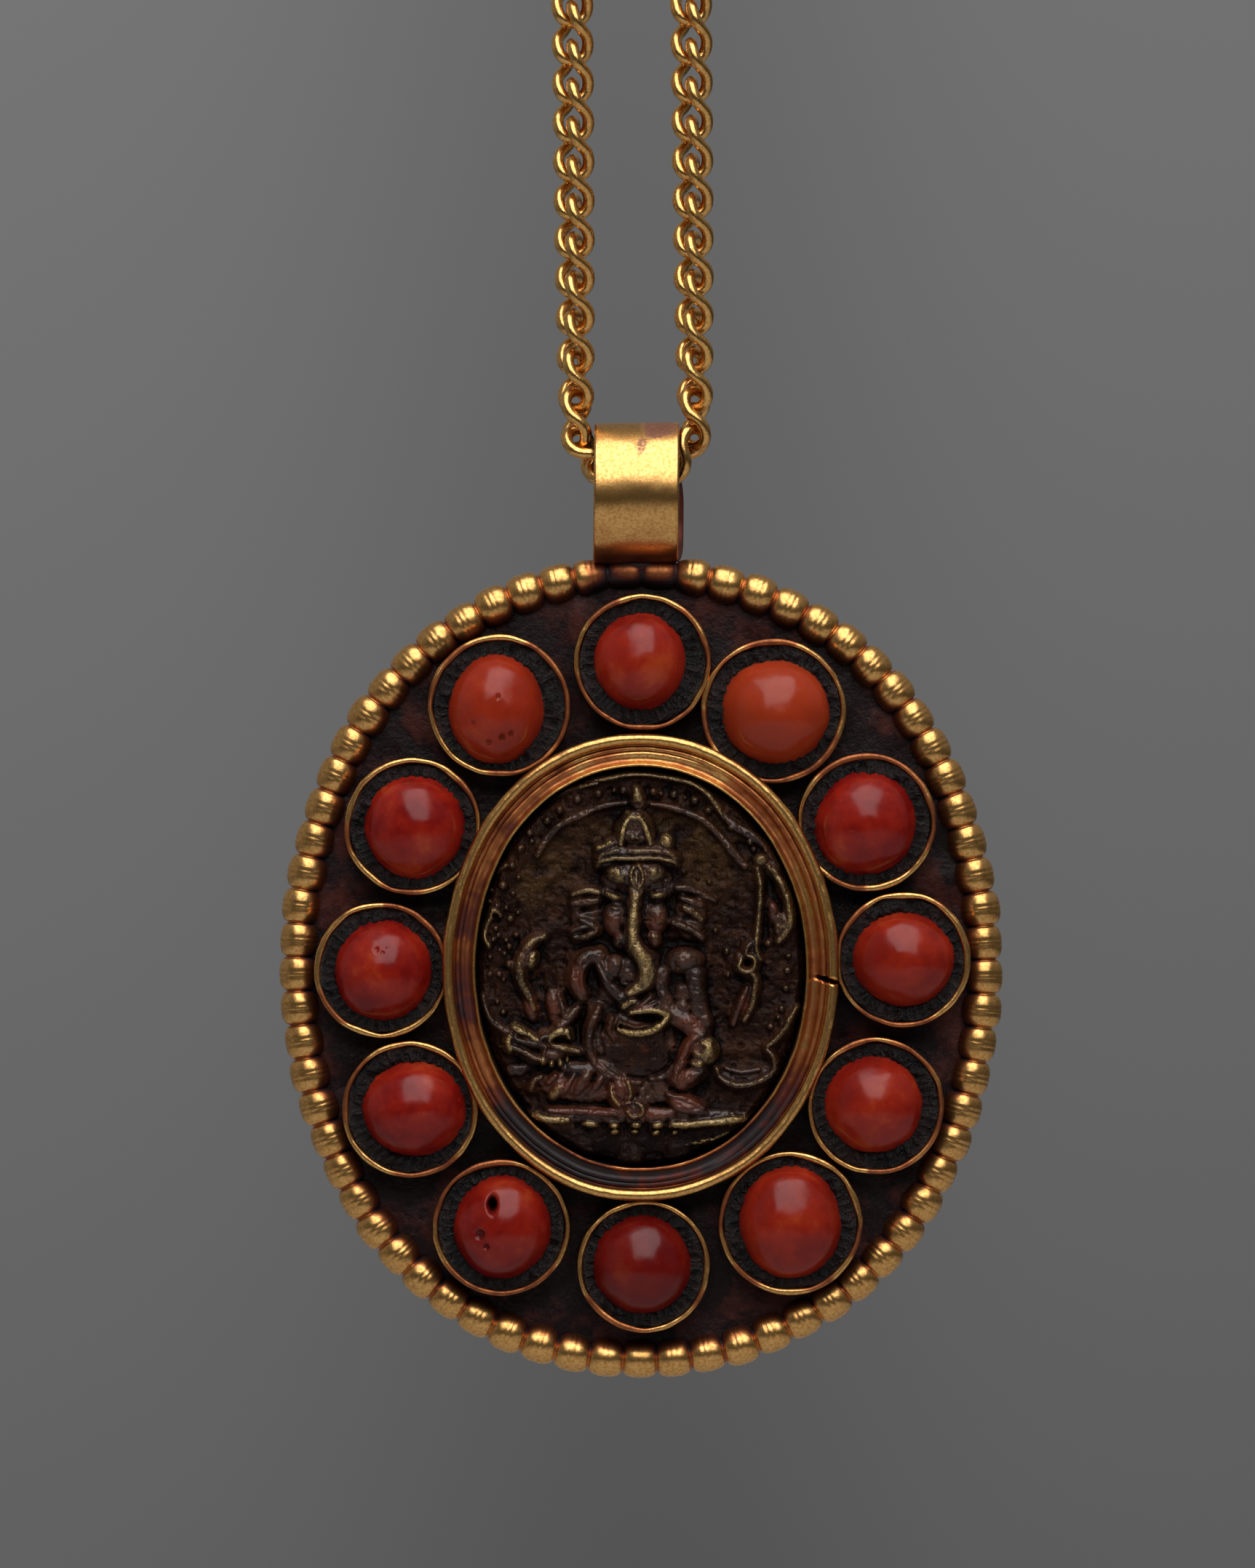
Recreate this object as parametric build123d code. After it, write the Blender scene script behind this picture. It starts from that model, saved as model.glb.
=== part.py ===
from build123d import *
import os
from collections import namedtuple
from math import asin, cos, degrees, hypot, pi, radians, sin, sqrt

# A ganesha pendant that hangs on a whole loop of twisted curb chain, in millimetres.
# +Z is up, the front faces -Y and +X is to the right. The origin is inside the chain's
# top turn, where the loop hangs. The pendant is first laid flat, with its front up,
# its across along X and its up along Y, and is stood up and hung when it is whole.

# Medallion: a cast oval plaque
medallion_half_width = 9.0
medallion_half_height = 10.95
medallion_thickness = 1.2
field_depth = 0.6
bed_thickness = 0.75
bed_side_gap = 0.12
fit_gap = 0.05

# Bezel: a band round the medallion with two wires, a valley and a thin lip on it
bezel_lip = 0.25
bezel_valley = 0.55
bezel_wire_radius = 0.19
bezel_groove = 0.05
bezel_roll_radius = 0.3
bezel_height = 2.9
bezel_lip_height = 2.55
valley_depth = 0.65
seam_width = 0.22
seam_turn = -4.0
seam_height = 0.9

# Collets: round cups that stand shoulder to shoulder against the bezel
collet_count = 12
collet_wall = 0.36
collet_height = 2.2
collet_fill = 0.94
collet_tuck = 0.15

# Corals and the cement round them
cement_width = 0.56
cement_least = 0.24
cement_level = 2.05
coral_middle = 1.1
coral_seat = 0.08

# Back plate and the beaded wire on its edge
plate_thickness = 1.0
side_margin = 0.9
end_margin = 1.75
bead_core_radius = 0.62
bead_pitch = 1.857
bead_gap = 0.03
bead_lift = 0.1

# Chain: curb links, all twisted the same way
chain_wire = 0.58
loop_length = 406.0
turn_links = 4
barrel_links = 4
barrel_radius = 1.25
barrel_round = 0.3
barrel_from_top = 6

# Bail: a strip closed in a loop
bail_width = 4.6
bail_strip = 0.6
bail_leg = 2.8
bail_front_radius = 4.2
bail_round = 0.12
bail_clearance = 0.1
bail_above_beads = 0.55
solder_depth = 1.5

# How far the plate's front stands behind the bail's middle, so that the pendant hangs upright
floor_back = 0.48

# Proportions of a link, as multiples of its wire
LINK_PITCH = 3.69
LINK_HALF_LENGTH = 2.69
LINK_HALF_WIDTH = 1.397
END_TWIST = -60
SIDE_LEAN = -58.5

# How a strand turns about itself on its way up: half a turn, quicker near the bail
STRAND_ROLL = -180
ROLL_LEAN = 0.55

# An oval's arcs: the side arc reaches to one heading and the end arc starts at the other
SIDE_HEADING = 28
END_HEADING = 62
PLATE_CORNER = 0.92
BEZEL_CORNER = 1.0

# Where a neck of the beaded wire starts inside its bead, as a share of the pitch
NECK_INSET = 0.16

# Each collet: its turn clockwise from the top, how far out it stands and how large it is,
# then its coral: how large it is, and where it sits in the room that the cup leaves
Cup = namedtuple("Cup", "turn out size coral slip_across slip_up")
CUPS = [
    Cup(1, 1.036, 0.99, 0.97, -0.5, 0.2),
    Cup(31, 1.010, 1.05, 1.00, 0.4, -0.1),
    Cup(61, 1.000, 1.00, 1.02, -0.1, -0.5),
    Cup(89, 1.010, 0.98, 1.00, 0.2, 0.0),
    Cup(118, 1.020, 0.99, 0.99, -0.6, 0.4),
    Cup(147, 1.041, 1.04, 1.03, 0.1, 0.2),
    Cup(180, 1.014, 0.96, 1.01, -0.5, 0.5),
    Cup(212, 1.036, 0.99, 1.02, 0.5, 0.1),
    Cup(242, 1.012, 0.99, 1.00, 0.8, 0.3),
    Cup(270, 1.000, 0.98, 1.01, 0.4, -0.4),
    Cup(299, 1.000, 0.99, 1.02, 0.5, -0.2),
    Cup(329, 1.040, 1.03, 0.98, -0.6, -0.5),
]

# The cast relief in rounded bars and knobs: each runs from one place to another, as shares
# of the medallion's half width and half height, with its radius and its rise above the field
# as shares of the half width
Bar = namedtuple("Bar", "across up to_across to_up radius rise")
FIGURE = [
    # crown
    Bar(-0.02, 0.86, -0.02, 0.78, 0.040, 0.075),
    Bar(-0.02, 0.73, -0.02, 0.63, 0.085, 0.110),
    Bar(-0.21, 0.57, 0.18, 0.57, 0.050, 0.120),
    Bar(0.17, 0.63, 0.18, 0.62, 0.060, 0.100),
    # head
    Bar(-0.12, 0.46, 0.08, 0.46, 0.120, 0.150),
    Bar(-0.14, 0.35, -0.13, 0.14, 0.085, 0.125),
    Bar(0.09, 0.35, 0.09, 0.14, 0.085, 0.125),
    Bar(-0.36, 0.39, -0.33, 0.16, 0.075, 0.070),
    Bar(0.32, 0.38, 0.34, 0.15, 0.075, 0.070),
    # trunk
    Bar(-0.03, 0.38, -0.03, 0.14, 0.060, 0.175),
    Bar(-0.03, 0.14, 0.06, 0.00, 0.060, 0.170),
    Bar(0.06, 0.00, 0.02, -0.09, 0.055, 0.160),
    Bar(0.02, -0.09, -0.08, -0.13, 0.045, 0.150),
    # chest, shoulders and arms
    Bar(-0.17, 0.00, -0.15, -0.12, 0.130, 0.115),
    Bar(0.22, 0.03, 0.28, -0.08, 0.120, 0.115),
    Bar(-0.36, 0.05, -0.40, -0.12, 0.075, 0.095),
    Bar(-0.71, 0.08, -0.71, -0.06, 0.060, 0.085),
    Bar(-0.71, -0.06, -0.57, -0.24, 0.055, 0.080),
    Bar(-0.57, -0.24, -0.40, -0.22, 0.055, 0.075),
    Bar(-0.80, -0.34, -0.45, -0.32, 0.040, 0.090),
    Bar(-0.79, -0.40, -0.40, -0.42, 0.045, 0.095),
    Bar(-0.58, -0.46, -0.52, -0.46, 0.075, 0.105),
    Bar(0.34, -0.08, 0.36, -0.24, 0.080, 0.085),
    # belly and bowl
    Bar(-0.05, -0.40, -0.01, -0.40, 0.260, 0.135),
    Bar(-0.13, -0.31, -0.03, -0.34, 0.035, 0.165),
    Bar(-0.03, -0.34, 0.14, -0.25, 0.035, 0.165),
    # legs and feet
    Bar(-0.54, -0.60, -0.28, -0.57, 0.100, 0.110),
    Bar(-0.15, -0.60, -0.05, -0.71, 0.060, 0.115),
    Bar(0.19, -0.29, 0.37, -0.40, 0.080, 0.120),
    Bar(0.38, -0.42, 0.39, -0.43, 0.090, 0.150),
    Bar(0.33, -0.48, 0.22, -0.63, 0.070, 0.120),
    Bar(0.18, -0.70, 0.36, -0.72, 0.055, 0.115),
    # lotus seat
    Bar(-0.70, -0.75, -0.02, -0.785, 0.035, 0.120),
    Bar(-0.02, -0.785, 0.67, -0.76, 0.035, 0.120),
    # axe on its staff
    Bar(0.71, 0.52, 0.65, 0.02, 0.035, 0.070),
    Bar(0.78, 0.50, 0.90, 0.30, 0.035, 0.075),
    Bar(0.90, 0.30, 0.80, 0.12, 0.035, 0.075),
    Bar(0.65, -0.02, 0.59, -0.26, 0.045, 0.065),
    # bowl of sweets at the lower right
    Bar(0.47, -0.48, 0.54, -0.60, 0.035, 0.085),
    Bar(0.54, -0.60, 0.73, -0.60, 0.035, 0.090),
    Bar(0.73, -0.60, 0.82, -0.47, 0.035, 0.085),
    Bar(0.82, -0.44, 0.93, -0.24, 0.035, 0.075),
]
PEARL_RADIUS = 0.036
PEARL_RISE = 0.060
PEARL_RING = 0.86
PEARL_FROM = -80
PEARL_TO = 62
PEARL_PITCH = 8.5
HALO_RADIUS = 0.73
HALO_UP = 0.20
HALO_WIRE = 0.030
HALO_TURN = 150
PETAL_COUNT = 8
PETAL_FROM = -0.48
PETAL_TO = 0.44
PETAL_UP = -0.845
PETAL_RADIUS = 0.062
PETAL_RISE = 0.095

# Sizes that follow
bezel_width = (
    bezel_lip + bezel_valley + 2 * bezel_wire_radius + bezel_groove + 2 * bezel_roll_radius
)
bezel_half_width = medallion_half_width + bed_side_gap + bezel_width
bezel_half_height = medallion_half_height + bed_side_gap + bezel_width
wall_half_width = bezel_half_width - bezel_roll_radius
wall_half_height = bezel_half_height - bezel_roll_radius
half_share = sin(pi / collet_count)
collet_radius = collet_fill * (wall_half_width + wall_half_height) / 2 * half_share / (1 - half_share)
ring_half_width = wall_half_width + collet_radius - collet_tuck
ring_half_height = wall_half_height + collet_radius - collet_tuck
plate_half_width = ring_half_width + collet_radius + side_margin
plate_half_height = ring_half_height + collet_radius + end_margin
coral_radius = collet_radius - collet_wall - cement_width
field_level = bed_thickness + medallion_thickness + 2 * fit_gap
link_pitch = LINK_PITCH * chain_wire


def oval_arcs(half_width, half_height, corner_share):
    """The centre, radius, first heading and turn of an oval's eight tangent arcs."""
    corner = corner_share * half_width
    side, end = radians(SIDE_HEADING), radians(END_HEADING)
    width = half_width - corner * (cos(side) - cos(end))
    height = half_height - corner * (sin(end) - sin(side))
    scale = (1 - cos(side)) * (1 - sin(end)) - cos(end) * sin(side)
    side_radius = (width * (1 - sin(end)) - height * cos(end)) / scale
    end_radius = (height * (1 - cos(side)) - width * sin(side)) / scale
    corner_turn = END_HEADING - SIDE_HEADING
    steps = [
        (side_radius, 2 * SIDE_HEADING),
        (corner, corner_turn),
        (end_radius, 180 - 2 * END_HEADING),
        (corner, corner_turn),
    ] * 2
    centre = Vector(half_width - side_radius, 0)
    heading = -SIDE_HEADING
    arcs = []
    radius = side_radius
    for next_radius, turn in steps:
        outward = Vector(1, 0).rotate(Axis.Z, heading)
        centre = centre + outward * (radius - next_radius)
        radius = next_radius
        arcs.append((centre, radius, heading, turn))
        heading += turn
    return arcs


def oval_wire(arcs, offset=0.0):
    edges = [
        CenterArc(centre, radius + offset, heading, turn)
        for centre, radius, heading, turn in arcs
    ]
    return Wire([arc.edge() for arc in edges])


def oval_plate(arcs, offset, low, high):
    """The oval, grown by offset, as a solid from one height to another."""
    return Pos(0, 0, low) * extrude(make_face(oval_wire(arcs, offset)), high - low)


def oval_ring(arcs, profile):
    """A ring of the given profile, drawn with X outward from the oval and Y up."""
    pieces = []
    for centre, radius, heading, turn in arcs:
        outward = Vector(1, 0).rotate(Axis.Z, heading)
        start = Plane(centre + outward * radius, x_dir=outward, z_dir=outward.cross(Vector(0, 0, 1)))
        pieces.append(revolve(start * profile, Axis(centre, (0, 0, 1)), turn))
    return Part() + pieces


def bead_places(arcs):
    """The middle of each bead, evenly spaced along the plate's edge."""
    path = oval_wire(arcs)
    count = round(path.length / bead_pitch)
    steps = [(number + 0.5) * path.length / count for number in range(count)]
    return [path.position_at(step, position_mode=PositionMode.LENGTH) for step in steps]


def make_plate(places):
    """The back plate, with a corner in the middle of each bead."""
    outline = make_face(Polyline(*places, close=True))
    return Pos(0, 0, -plate_thickness) * extrude(outline, plate_thickness)


def make_beads(places):
    """The beaded wire: a bead at each place, and a thinner neck from each bead to the next."""
    parts = []
    for start, end in zip(places, places[1:] + places[:1]):
        run = end - start
        bead_line = Plane(start, x_dir=(0, 0, 1), z_dir=run)
        neck = column(bead_core_radius, NECK_INSET * run.length, (1 - NECK_INSET) * run.length)
        parts.append(bead_line * neck)
        parts.append(bead_line * Sphere((run.length - bead_gap) / 2))
    return Pos(0, 0, bead_lift) * (Part() + parts)


def bezel_profile():
    """The bezel's section, with X measured outward from its inner face."""
    wire_middle = bezel_lip + bezel_valley + bezel_wire_radius
    roll_middle = wire_middle + bezel_wire_radius + bezel_groove + bezel_roll_radius
    wire_level = bezel_height - bezel_wire_radius
    roll_level = bezel_height - bezel_roll_radius
    floor_level = bezel_height - valley_depth
    band = Polyline(
        (0, -plate_thickness / 2),
        (0, bezel_lip_height),
        (bezel_lip, bezel_lip_height),
        (bezel_lip + bezel_valley / 4, floor_level),
        (bezel_lip + bezel_valley, floor_level),
        (wire_middle, wire_level),
        (roll_middle, roll_level),
        (roll_middle, -plate_thickness / 2),
        close=True,
    )
    section = make_face(band)
    section += Pos(wire_middle, wire_level) * Circle(bezel_wire_radius)
    section += Pos(roll_middle, roll_level) * Circle(bezel_roll_radius)
    return section


def make_bezel(inner_arcs):
    ring = oval_ring(inner_arcs, bezel_profile())
    seam = Pos(bezel_half_width, 0, bezel_height) * Box(2 * bezel_width, seam_width, 2 * seam_height)
    return ring - Rot(0, 0, seam_turn) * seam


def cup_centre(cup):
    return Vector(
        ring_half_width * cup.out * sin(radians(cup.turn)),
        ring_half_height * cup.out * cos(radians(cup.turn)),
    )


def cup_bore(cup):
    return collet_radius * cup.size - collet_wall


def stand(solid, place, low=0.0):
    """Moves an upright solid from the origin to a place on the plate."""
    return Pos(place.X, place.Y, low) * solid


def column(radius, low, high):
    return Pos(0, 0, low) * Cylinder(radius, high - low, align=(Align.CENTER, Align.CENTER, Align.MIN))


def make_collets():
    return [
        stand(column(collet_radius * cup.size, -plate_thickness / 2, collet_height), cup_centre(cup))
        for cup in CUPS
    ]


def make_bores():
    return [stand(column(cup_bore(cup), 0, collet_height + fit_gap), cup_centre(cup)) for cup in CUPS]


def coral_size(cup):
    return min(coral_radius * cup.coral * cup.size, cup_bore(cup) - cement_least - fit_gap)


def coral_centre(cup):
    room = cup_bore(cup) - coral_size(cup) - cement_least
    slip = Vector(cup.slip_across, cup.slip_up) * (room / sqrt(2))
    return cup_centre(cup) + slip


def make_coral(cup):
    """A bead of coral, flat underneath, seated on the plate."""
    radius = coral_size(cup)
    bead = Pos(0, 0, coral_middle) * Sphere(radius)
    return stand(bead & column(2 * radius, coral_seat, coral_middle + 2 * radius), coral_centre(cup))


def make_cement(cup):
    ring = stand(column(cup_bore(cup) - fit_gap, fit_gap, cement_level), cup_centre(cup))
    room = Pos(0, 0, coral_middle) * Sphere(coral_size(cup) + fit_gap)
    return ring - stand(room, coral_centre(cup))


def capsule(start, end, radius, turn=360):
    """A bar with round ends, or with a half turn its upper half."""
    run = end - start
    outline = Wire(
        [
            CenterArc((0, 0), radius, 270, 90).edge(),
            Line((radius, 0), (radius, run.length)).edge(),
            CenterArc((0, run.length), radius, 0, 90).edge(),
            Line((0, run.length + radius), (0, -radius)).edge(),
        ]
    )
    bar = Rot(0, 0, -turn / 2) * revolve(Plane.XZ * make_face(outline), Axis.Z, turn)
    return Plane(start, x_dir=Vector(0, 0, 1), z_dir=run) * bar


def relief_place(across, up, level):
    return Vector(across * medallion_half_width, up * medallion_half_height, level)


def make_bar(bar):
    """A bar sunk in the field, or one with a round top and straight flanks that stands on it."""
    radius = bar.radius * medallion_half_width
    lift = bar.rise * medallion_half_width - radius
    start = relief_place(bar.across, bar.up, field_level + lift)
    end = relief_place(bar.to_across, bar.to_up, field_level + lift)
    if lift <= 0:
        return capsule(start, end, radius)
    run = end - start
    plan = SlotCenterToCenter(run.length, 2 * radius)
    flanks = Plane((start + end) * 0.5, x_dir=run, z_dir=(0, 0, -1)) * extrude(plan, lift + field_depth)
    return capsule(start, end, radius, 180) + flanks


def make_knob(across, up, radius_share, rise_share):
    """A round-topped post."""
    radius = radius_share * medallion_half_width
    low = field_level - field_depth
    level = field_level + rise_share * medallion_half_width - radius
    outline = Wire(
        [
            Line((0, low), (radius, low)).edge(),
            Line((radius, low), (radius, level)).edge(),
            CenterArc((0, level), radius, 0, 90).edge(),
            Line((0, level + radius), (0, low)).edge(),
        ]
    )
    return stand(revolve(Plane.XZ * make_face(outline), Axis.Z), relief_place(across, up, 0))


def make_pearls():
    count = round((PEARL_TO - PEARL_FROM) / PEARL_PITCH)
    step = radians((PEARL_TO - PEARL_FROM) / count)
    turns = [radians(PEARL_FROM) + number * step for number in range(count + 1)]
    return [
        make_knob(PEARL_RING * sin(turn), PEARL_RING * cos(turn), PEARL_RADIUS, PEARL_RISE)
        for turn in turns
    ]


def make_petals():
    step = (PETAL_TO - PETAL_FROM) / (PETAL_COUNT - 1)
    return [
        make_knob(PETAL_FROM + number * step, PETAL_UP, PETAL_RADIUS, PETAL_RISE)
        for number in range(PETAL_COUNT)
    ]


def make_halo():
    """The arched ridge behind the head."""
    centre = relief_place(0, HALO_UP, field_level)
    reach = HALO_RADIUS * medallion_half_width
    wire = Plane.XZ * (Pos(reach, 0) * Circle(HALO_WIRE * medallion_half_width))
    arch = Rot(0, 0, 90 - HALO_TURN / 2) * revolve(wire, Axis.Z, HALO_TURN)
    return Pos(centre) * arch


def make_medallion(arcs):
    base = oval_plate(arcs, 0, field_level - medallion_thickness, field_level)
    relief = Part()
    for bar in FIGURE:
        relief += make_bar(bar)
    relief += make_pearls() + make_petals() + [make_halo()]
    above = oval_plate(arcs, -fit_gap, field_level - field_depth, field_level + medallion_half_width)
    return base + (relief & above)


def biarc(start, start_way, end, end_way):
    """Two arcs that leave start along start_way and reach end along end_way."""
    gap = end - start
    ways = start_way + end_way
    spare = 2 * (1 - start_way.dot(end_way))
    along = gap.dot(ways)
    reach = (sqrt(along**2 + spare * gap.dot(gap)) - along) / spare
    near = start + start_way * reach
    far = end - end_way * reach
    middle = (near + far) * 0.5
    middle_way = (far - near).normalized()
    return [
        Edge.make_tangent_arc(start, start_way, middle),
        Edge.make_tangent_arc(middle, middle_way, end),
    ]


def link_path():
    """The line of one link's wire: an oval along X, its wide way along Y, twisted about X."""
    long = LINK_HALF_LENGTH * chain_wire
    wide = LINK_HALF_WIDTH * chain_wire
    twist, lean = radians(END_TWIST), radians(SIDE_LEAN)
    knots = [
        (Vector(long, 0, 0), Vector(0, cos(twist), sin(twist))),
        (Vector(0, wide, 0), Vector(-cos(lean), 0, -sin(lean))),
        (Vector(-long, 0, 0), Vector(0, -cos(twist), sin(twist))),
        (Vector(0, -wide, 0), Vector(cos(lean), 0, -sin(lean))),
    ]
    path = []
    for (start, start_way), (end, end_way) in zip(knots, knots[1:] + knots[:1]):
        path += biarc(start, start_way, end, end_way)
    return path


def make_link(path):
    """Each arc of the wire is a piece of a torus, and their skins close into one ring."""
    skins = []
    for arc in path:
        section = Plane(origin=arc @ 0, z_dir=arc % 0) * Circle(chain_wire / 2)
        axis = Axis(arc.arc_center, arc.normal())
        piece = revolve(section, axis, degrees(arc.length / arc.radius))
        skins += piece.faces().filter_by(GeomType.TORUS)
    return Solid(Shell(skins))


def turn_joints():
    """Where the links of a turn meet, from the turn's middle up one side to the strand."""
    step = 180 / (turn_links + 1)
    place = Vector(0, 0, 0)
    joints = [place]
    for number in range(turn_links // 2):
        heading = radians(step * (number + 0.5))
        place = place + Vector(cos(heading), 0, sin(heading)) * link_pitch
        joints.append(place)
    return joints


def link_place(start, end, wide):
    """The place of a link that runs from start to end, with its wide way along wide."""
    along = (end - start).normalized()
    return Location(Plane((start + end) * 0.5, x_dir=along, z_dir=along.cross(wide)))


def strand_count():
    return round((loop_length / link_pitch - 2 * turn_links) / 2)


def turn_reach(path):
    """How high and how low the bottom turn's wire lies inside the bail, and how wide it is."""
    joints = turn_joints()
    points = []
    for start, end in zip(joints, joints[1:]):
        place = link_place(start, end, Vector(0, 1, 0))
        for arc in path:
            for share in (0, 0.25, 0.5, 0.75):
                points.append((place * Pos(arc @ share)).position)
    inside = [point for point in points if abs(point.X) < (bail_width + chain_wire) / 2]
    middle = (max(p.Z for p in inside) + min(p.Z for p in inside)) / 2
    reach = max(hypot(p.Y, p.Z - middle) for p in inside) + chain_wire / 2
    return middle, reach


def loop_places(bottom, top):
    """The place of every link of the loop: the bottom turn, both strands and the top turn."""
    front = Vector(0, 1, 0)
    joints = turn_joints()
    left = [Vector(-joint.X, 0, joint.Z) for joint in joints]
    low = [Vector(joint.X, 0, bottom + joint.Z) for joint in left[:0:-1] + joints]
    high = [Vector(joint.X, 0, top - joint.Z) for joint in left[:0:-1] + joints]
    places = [link_place(start, end, front) for run in (low, high) for start, end in zip(run, run[1:])]
    count = strand_count()
    strands = []
    for foot in (low[0], low[-1]):
        strand = []
        for number in range(count):
            roll = STRAND_ROLL * (number / count) ** ROLL_LEAN
            wide = front.rotate(Axis.Z, -roll)
            start = foot + Vector(0, 0, number * link_pitch)
            strand.append(link_place(start, start + Vector(0, 0, link_pitch), wide))
        strands.append(strand)
    return places, strands


def make_clasp(path, low_place, high_place):
    """A barrel with half a link standing out of each end."""
    low, high = low_place.position, high_place.position
    barrel = column(barrel_radius, 0, high.Z - low.Z)
    barrel = chamfer(barrel.edges().filter_by(GeomType.CIRCLE), barrel_round)
    return Pos(low) * barrel + [low_place * make_link(path), high_place * make_link(path)]


def bail_outline(radius, front_radius):
    """Two circles, one over the other, with a straight back and a bulging front."""
    bulge = degrees(asin(bail_leg / 2 / (front_radius - radius)))
    front_middle = sqrt((front_radius - radius) ** 2 - (bail_leg / 2) ** 2)
    outline = Wire(
        [
            CenterArc((0, 0), radius, 0, 180 - bulge).edge(),
            CenterArc((front_middle, -bail_leg / 2), front_radius, 180 - bulge, 2 * bulge).edge(),
            CenterArc((0, -bail_leg), radius, 180 + bulge, 180 - bulge).edge(),
            Line((radius, -bail_leg), (radius, 0)).edge(),
        ]
    )
    return make_face(outline)


def make_bail(bore):
    """The bail's loop, hung by the middle of its upper end, with its width along X."""
    section = bail_outline(bore + bail_strip, bail_front_radius)
    section -= bail_outline(bore, bail_front_radius - bail_strip)
    strip = extrude(Plane.YZ * section, bail_width / 2, both=True)
    rims = strip.edges().filter_by_position(Axis.X, bail_width / 2, bail_width / 2)
    rims += strip.edges().filter_by_position(Axis.X, -bail_width / 2, -bail_width / 2)
    return fillet(rims, bail_round)


def make_solder(bail_low):
    """The solder that seats the bail on the beads."""
    low = pendant_level + plate_half_height
    high = bail_low + bail_strip / 2
    block = Box(bail_width - 2 * bail_strip, solder_depth, high - low)
    return Pos(0, floor_back - bead_lift, (low + high) / 2) * block


def write(name, shape):
    shape.label = name
    export_step(shape, os.path.join("parts", name + ".step"))
    print(name, "solids", len(shape.solids()), "volume", round(shape.volume, 2))


os.makedirs("parts", exist_ok=True)

# The chain, from the top turn down
path = link_path()
link = make_link(path)
joints = turn_joints()
top = LINK_HALF_WIDTH * chain_wire
bottom = top - 2 * joints[-1].Z - strand_count() * link_pitch
places, strands = loop_places(bottom, top)
first_barrel = strand_count() - barrel_from_top - barrel_links
barrel_span = range(first_barrel, first_barrel + barrel_links + 1)
spots = places + strands[1] + [p for n, p in enumerate(strands[0]) if n not in barrel_span]
chain = Compound([spot * link for spot in spots])
clasp = make_clasp(path, strands[0][barrel_span[0]], strands[0][barrel_span[-1]])

# The bail hangs round the bottom turn, and swings about the middle of its upper end
axis_above_turn, reach = turn_reach(path)
swing_level = bottom + axis_above_turn
bail_bore = reach + bail_clearance
bail_low = swing_level - 2 * (bail_bore + bail_strip) - bail_leg + bail_bore + bail_strip
pendant_level = bail_low - bail_above_beads - plate_half_height

# The setting, flat with its front up
plate_arcs = oval_arcs(plate_half_width, plate_half_height, PLATE_CORNER)
bore_arcs = oval_arcs(
    bezel_half_width - bezel_width, bezel_half_height - bezel_width, BEZEL_CORNER
)
medallion_arcs = oval_arcs(medallion_half_width, medallion_half_height, BEZEL_CORNER)
beads = bead_places(plate_arcs)
setting = make_plate(beads) + make_collets() + make_bezel(bore_arcs) - make_bores()
setting = setting + make_beads(beads)

# Every flat piece is stood up and hung under the bail
hang = Pos(0, floor_back, pendant_level) * Rot(90, 0, 0)
bail = Pos(0, 0, swing_level) * make_bail(bail_bore)
setting = hang * setting + bail + make_solder(bail_low)
write("setting", setting)
for number, cup in enumerate(CUPS, 1):
    write(f"coral_{number:02d}", hang * make_coral(cup))
    write(f"cement_{number:02d}", hang * make_cement(cup))
write("medallion", hang * make_medallion(medallion_arcs))
write("medallion_cement", hang * oval_plate(bore_arcs, -fit_gap, fit_gap, fit_gap + bed_thickness))
write("chain", chain)
write("clasp", clasp)
print("links", len(spots), "loop", (len(spots) + barrel_links + 1) * link_pitch)
print("hinge", swing_level, "plate centre", pendant_level, "bail bore", bail_bore, "low", bail_low)
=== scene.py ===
from collections import namedtuple
from math import cos, pi, radians, sin, sqrt

import bpy
import numpy as np
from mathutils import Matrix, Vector


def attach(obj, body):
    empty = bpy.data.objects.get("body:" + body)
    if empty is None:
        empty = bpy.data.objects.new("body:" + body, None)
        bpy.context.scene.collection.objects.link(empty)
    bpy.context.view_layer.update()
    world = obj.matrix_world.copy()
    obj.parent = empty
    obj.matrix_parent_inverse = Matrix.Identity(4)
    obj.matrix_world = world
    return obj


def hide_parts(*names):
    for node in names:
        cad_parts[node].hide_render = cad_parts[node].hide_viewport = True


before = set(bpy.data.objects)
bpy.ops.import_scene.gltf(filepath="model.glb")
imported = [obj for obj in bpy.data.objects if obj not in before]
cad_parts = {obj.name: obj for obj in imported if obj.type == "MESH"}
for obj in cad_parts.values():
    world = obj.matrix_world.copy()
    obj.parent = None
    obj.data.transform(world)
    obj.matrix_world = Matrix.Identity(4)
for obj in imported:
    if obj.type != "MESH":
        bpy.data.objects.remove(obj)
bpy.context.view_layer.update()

# The looks of a ganesha pendant on its curb chain. Sizes are in millimetres, as in the part's
# source, and the pendant's pieces are drawn flat with their front up and then hung. Blender's
# own sizes are in metres.
MM = 0.001

# Sizes that the solids have too
medallion_half_width = 9.0
medallion_half_height = 10.95
field_level = 2.05
medallion_thickness = 1.2
bed_side_gap = 0.12
bezel_lip = 0.25
bezel_valley = 0.55
bezel_wire_radius = 0.19
bezel_groove = 0.05
bezel_roll_radius = 0.3
bezel_height = 2.9
valley_depth = 0.65
seam_turn = -4.0
seam_width = 0.22
seam_depth = 0.9
collet_wall = 0.36
collet_fill = 0.94
collet_tuck = 0.15
cement_width = 0.56
cement_least = 0.24
cement_level = 2.05
fit_gap = 0.05
coral_middle = 1.1
plate_thickness = 1.0
side_margin = 0.9
end_margin = 1.75
bead_core_radius = 0.62
bead_count = 69
bead_lift = 0.1
chain_wire = 0.58
loop_length = 406.0
turn_links = 4
barrel_links = 4
barrel_from_top = 6
bail_strip = 0.6
bail_leg = 2.8
bail_front_radius = 4.2
bail_bore = 1.905
floor_back = 0.48
swing_level = -197.95
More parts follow.
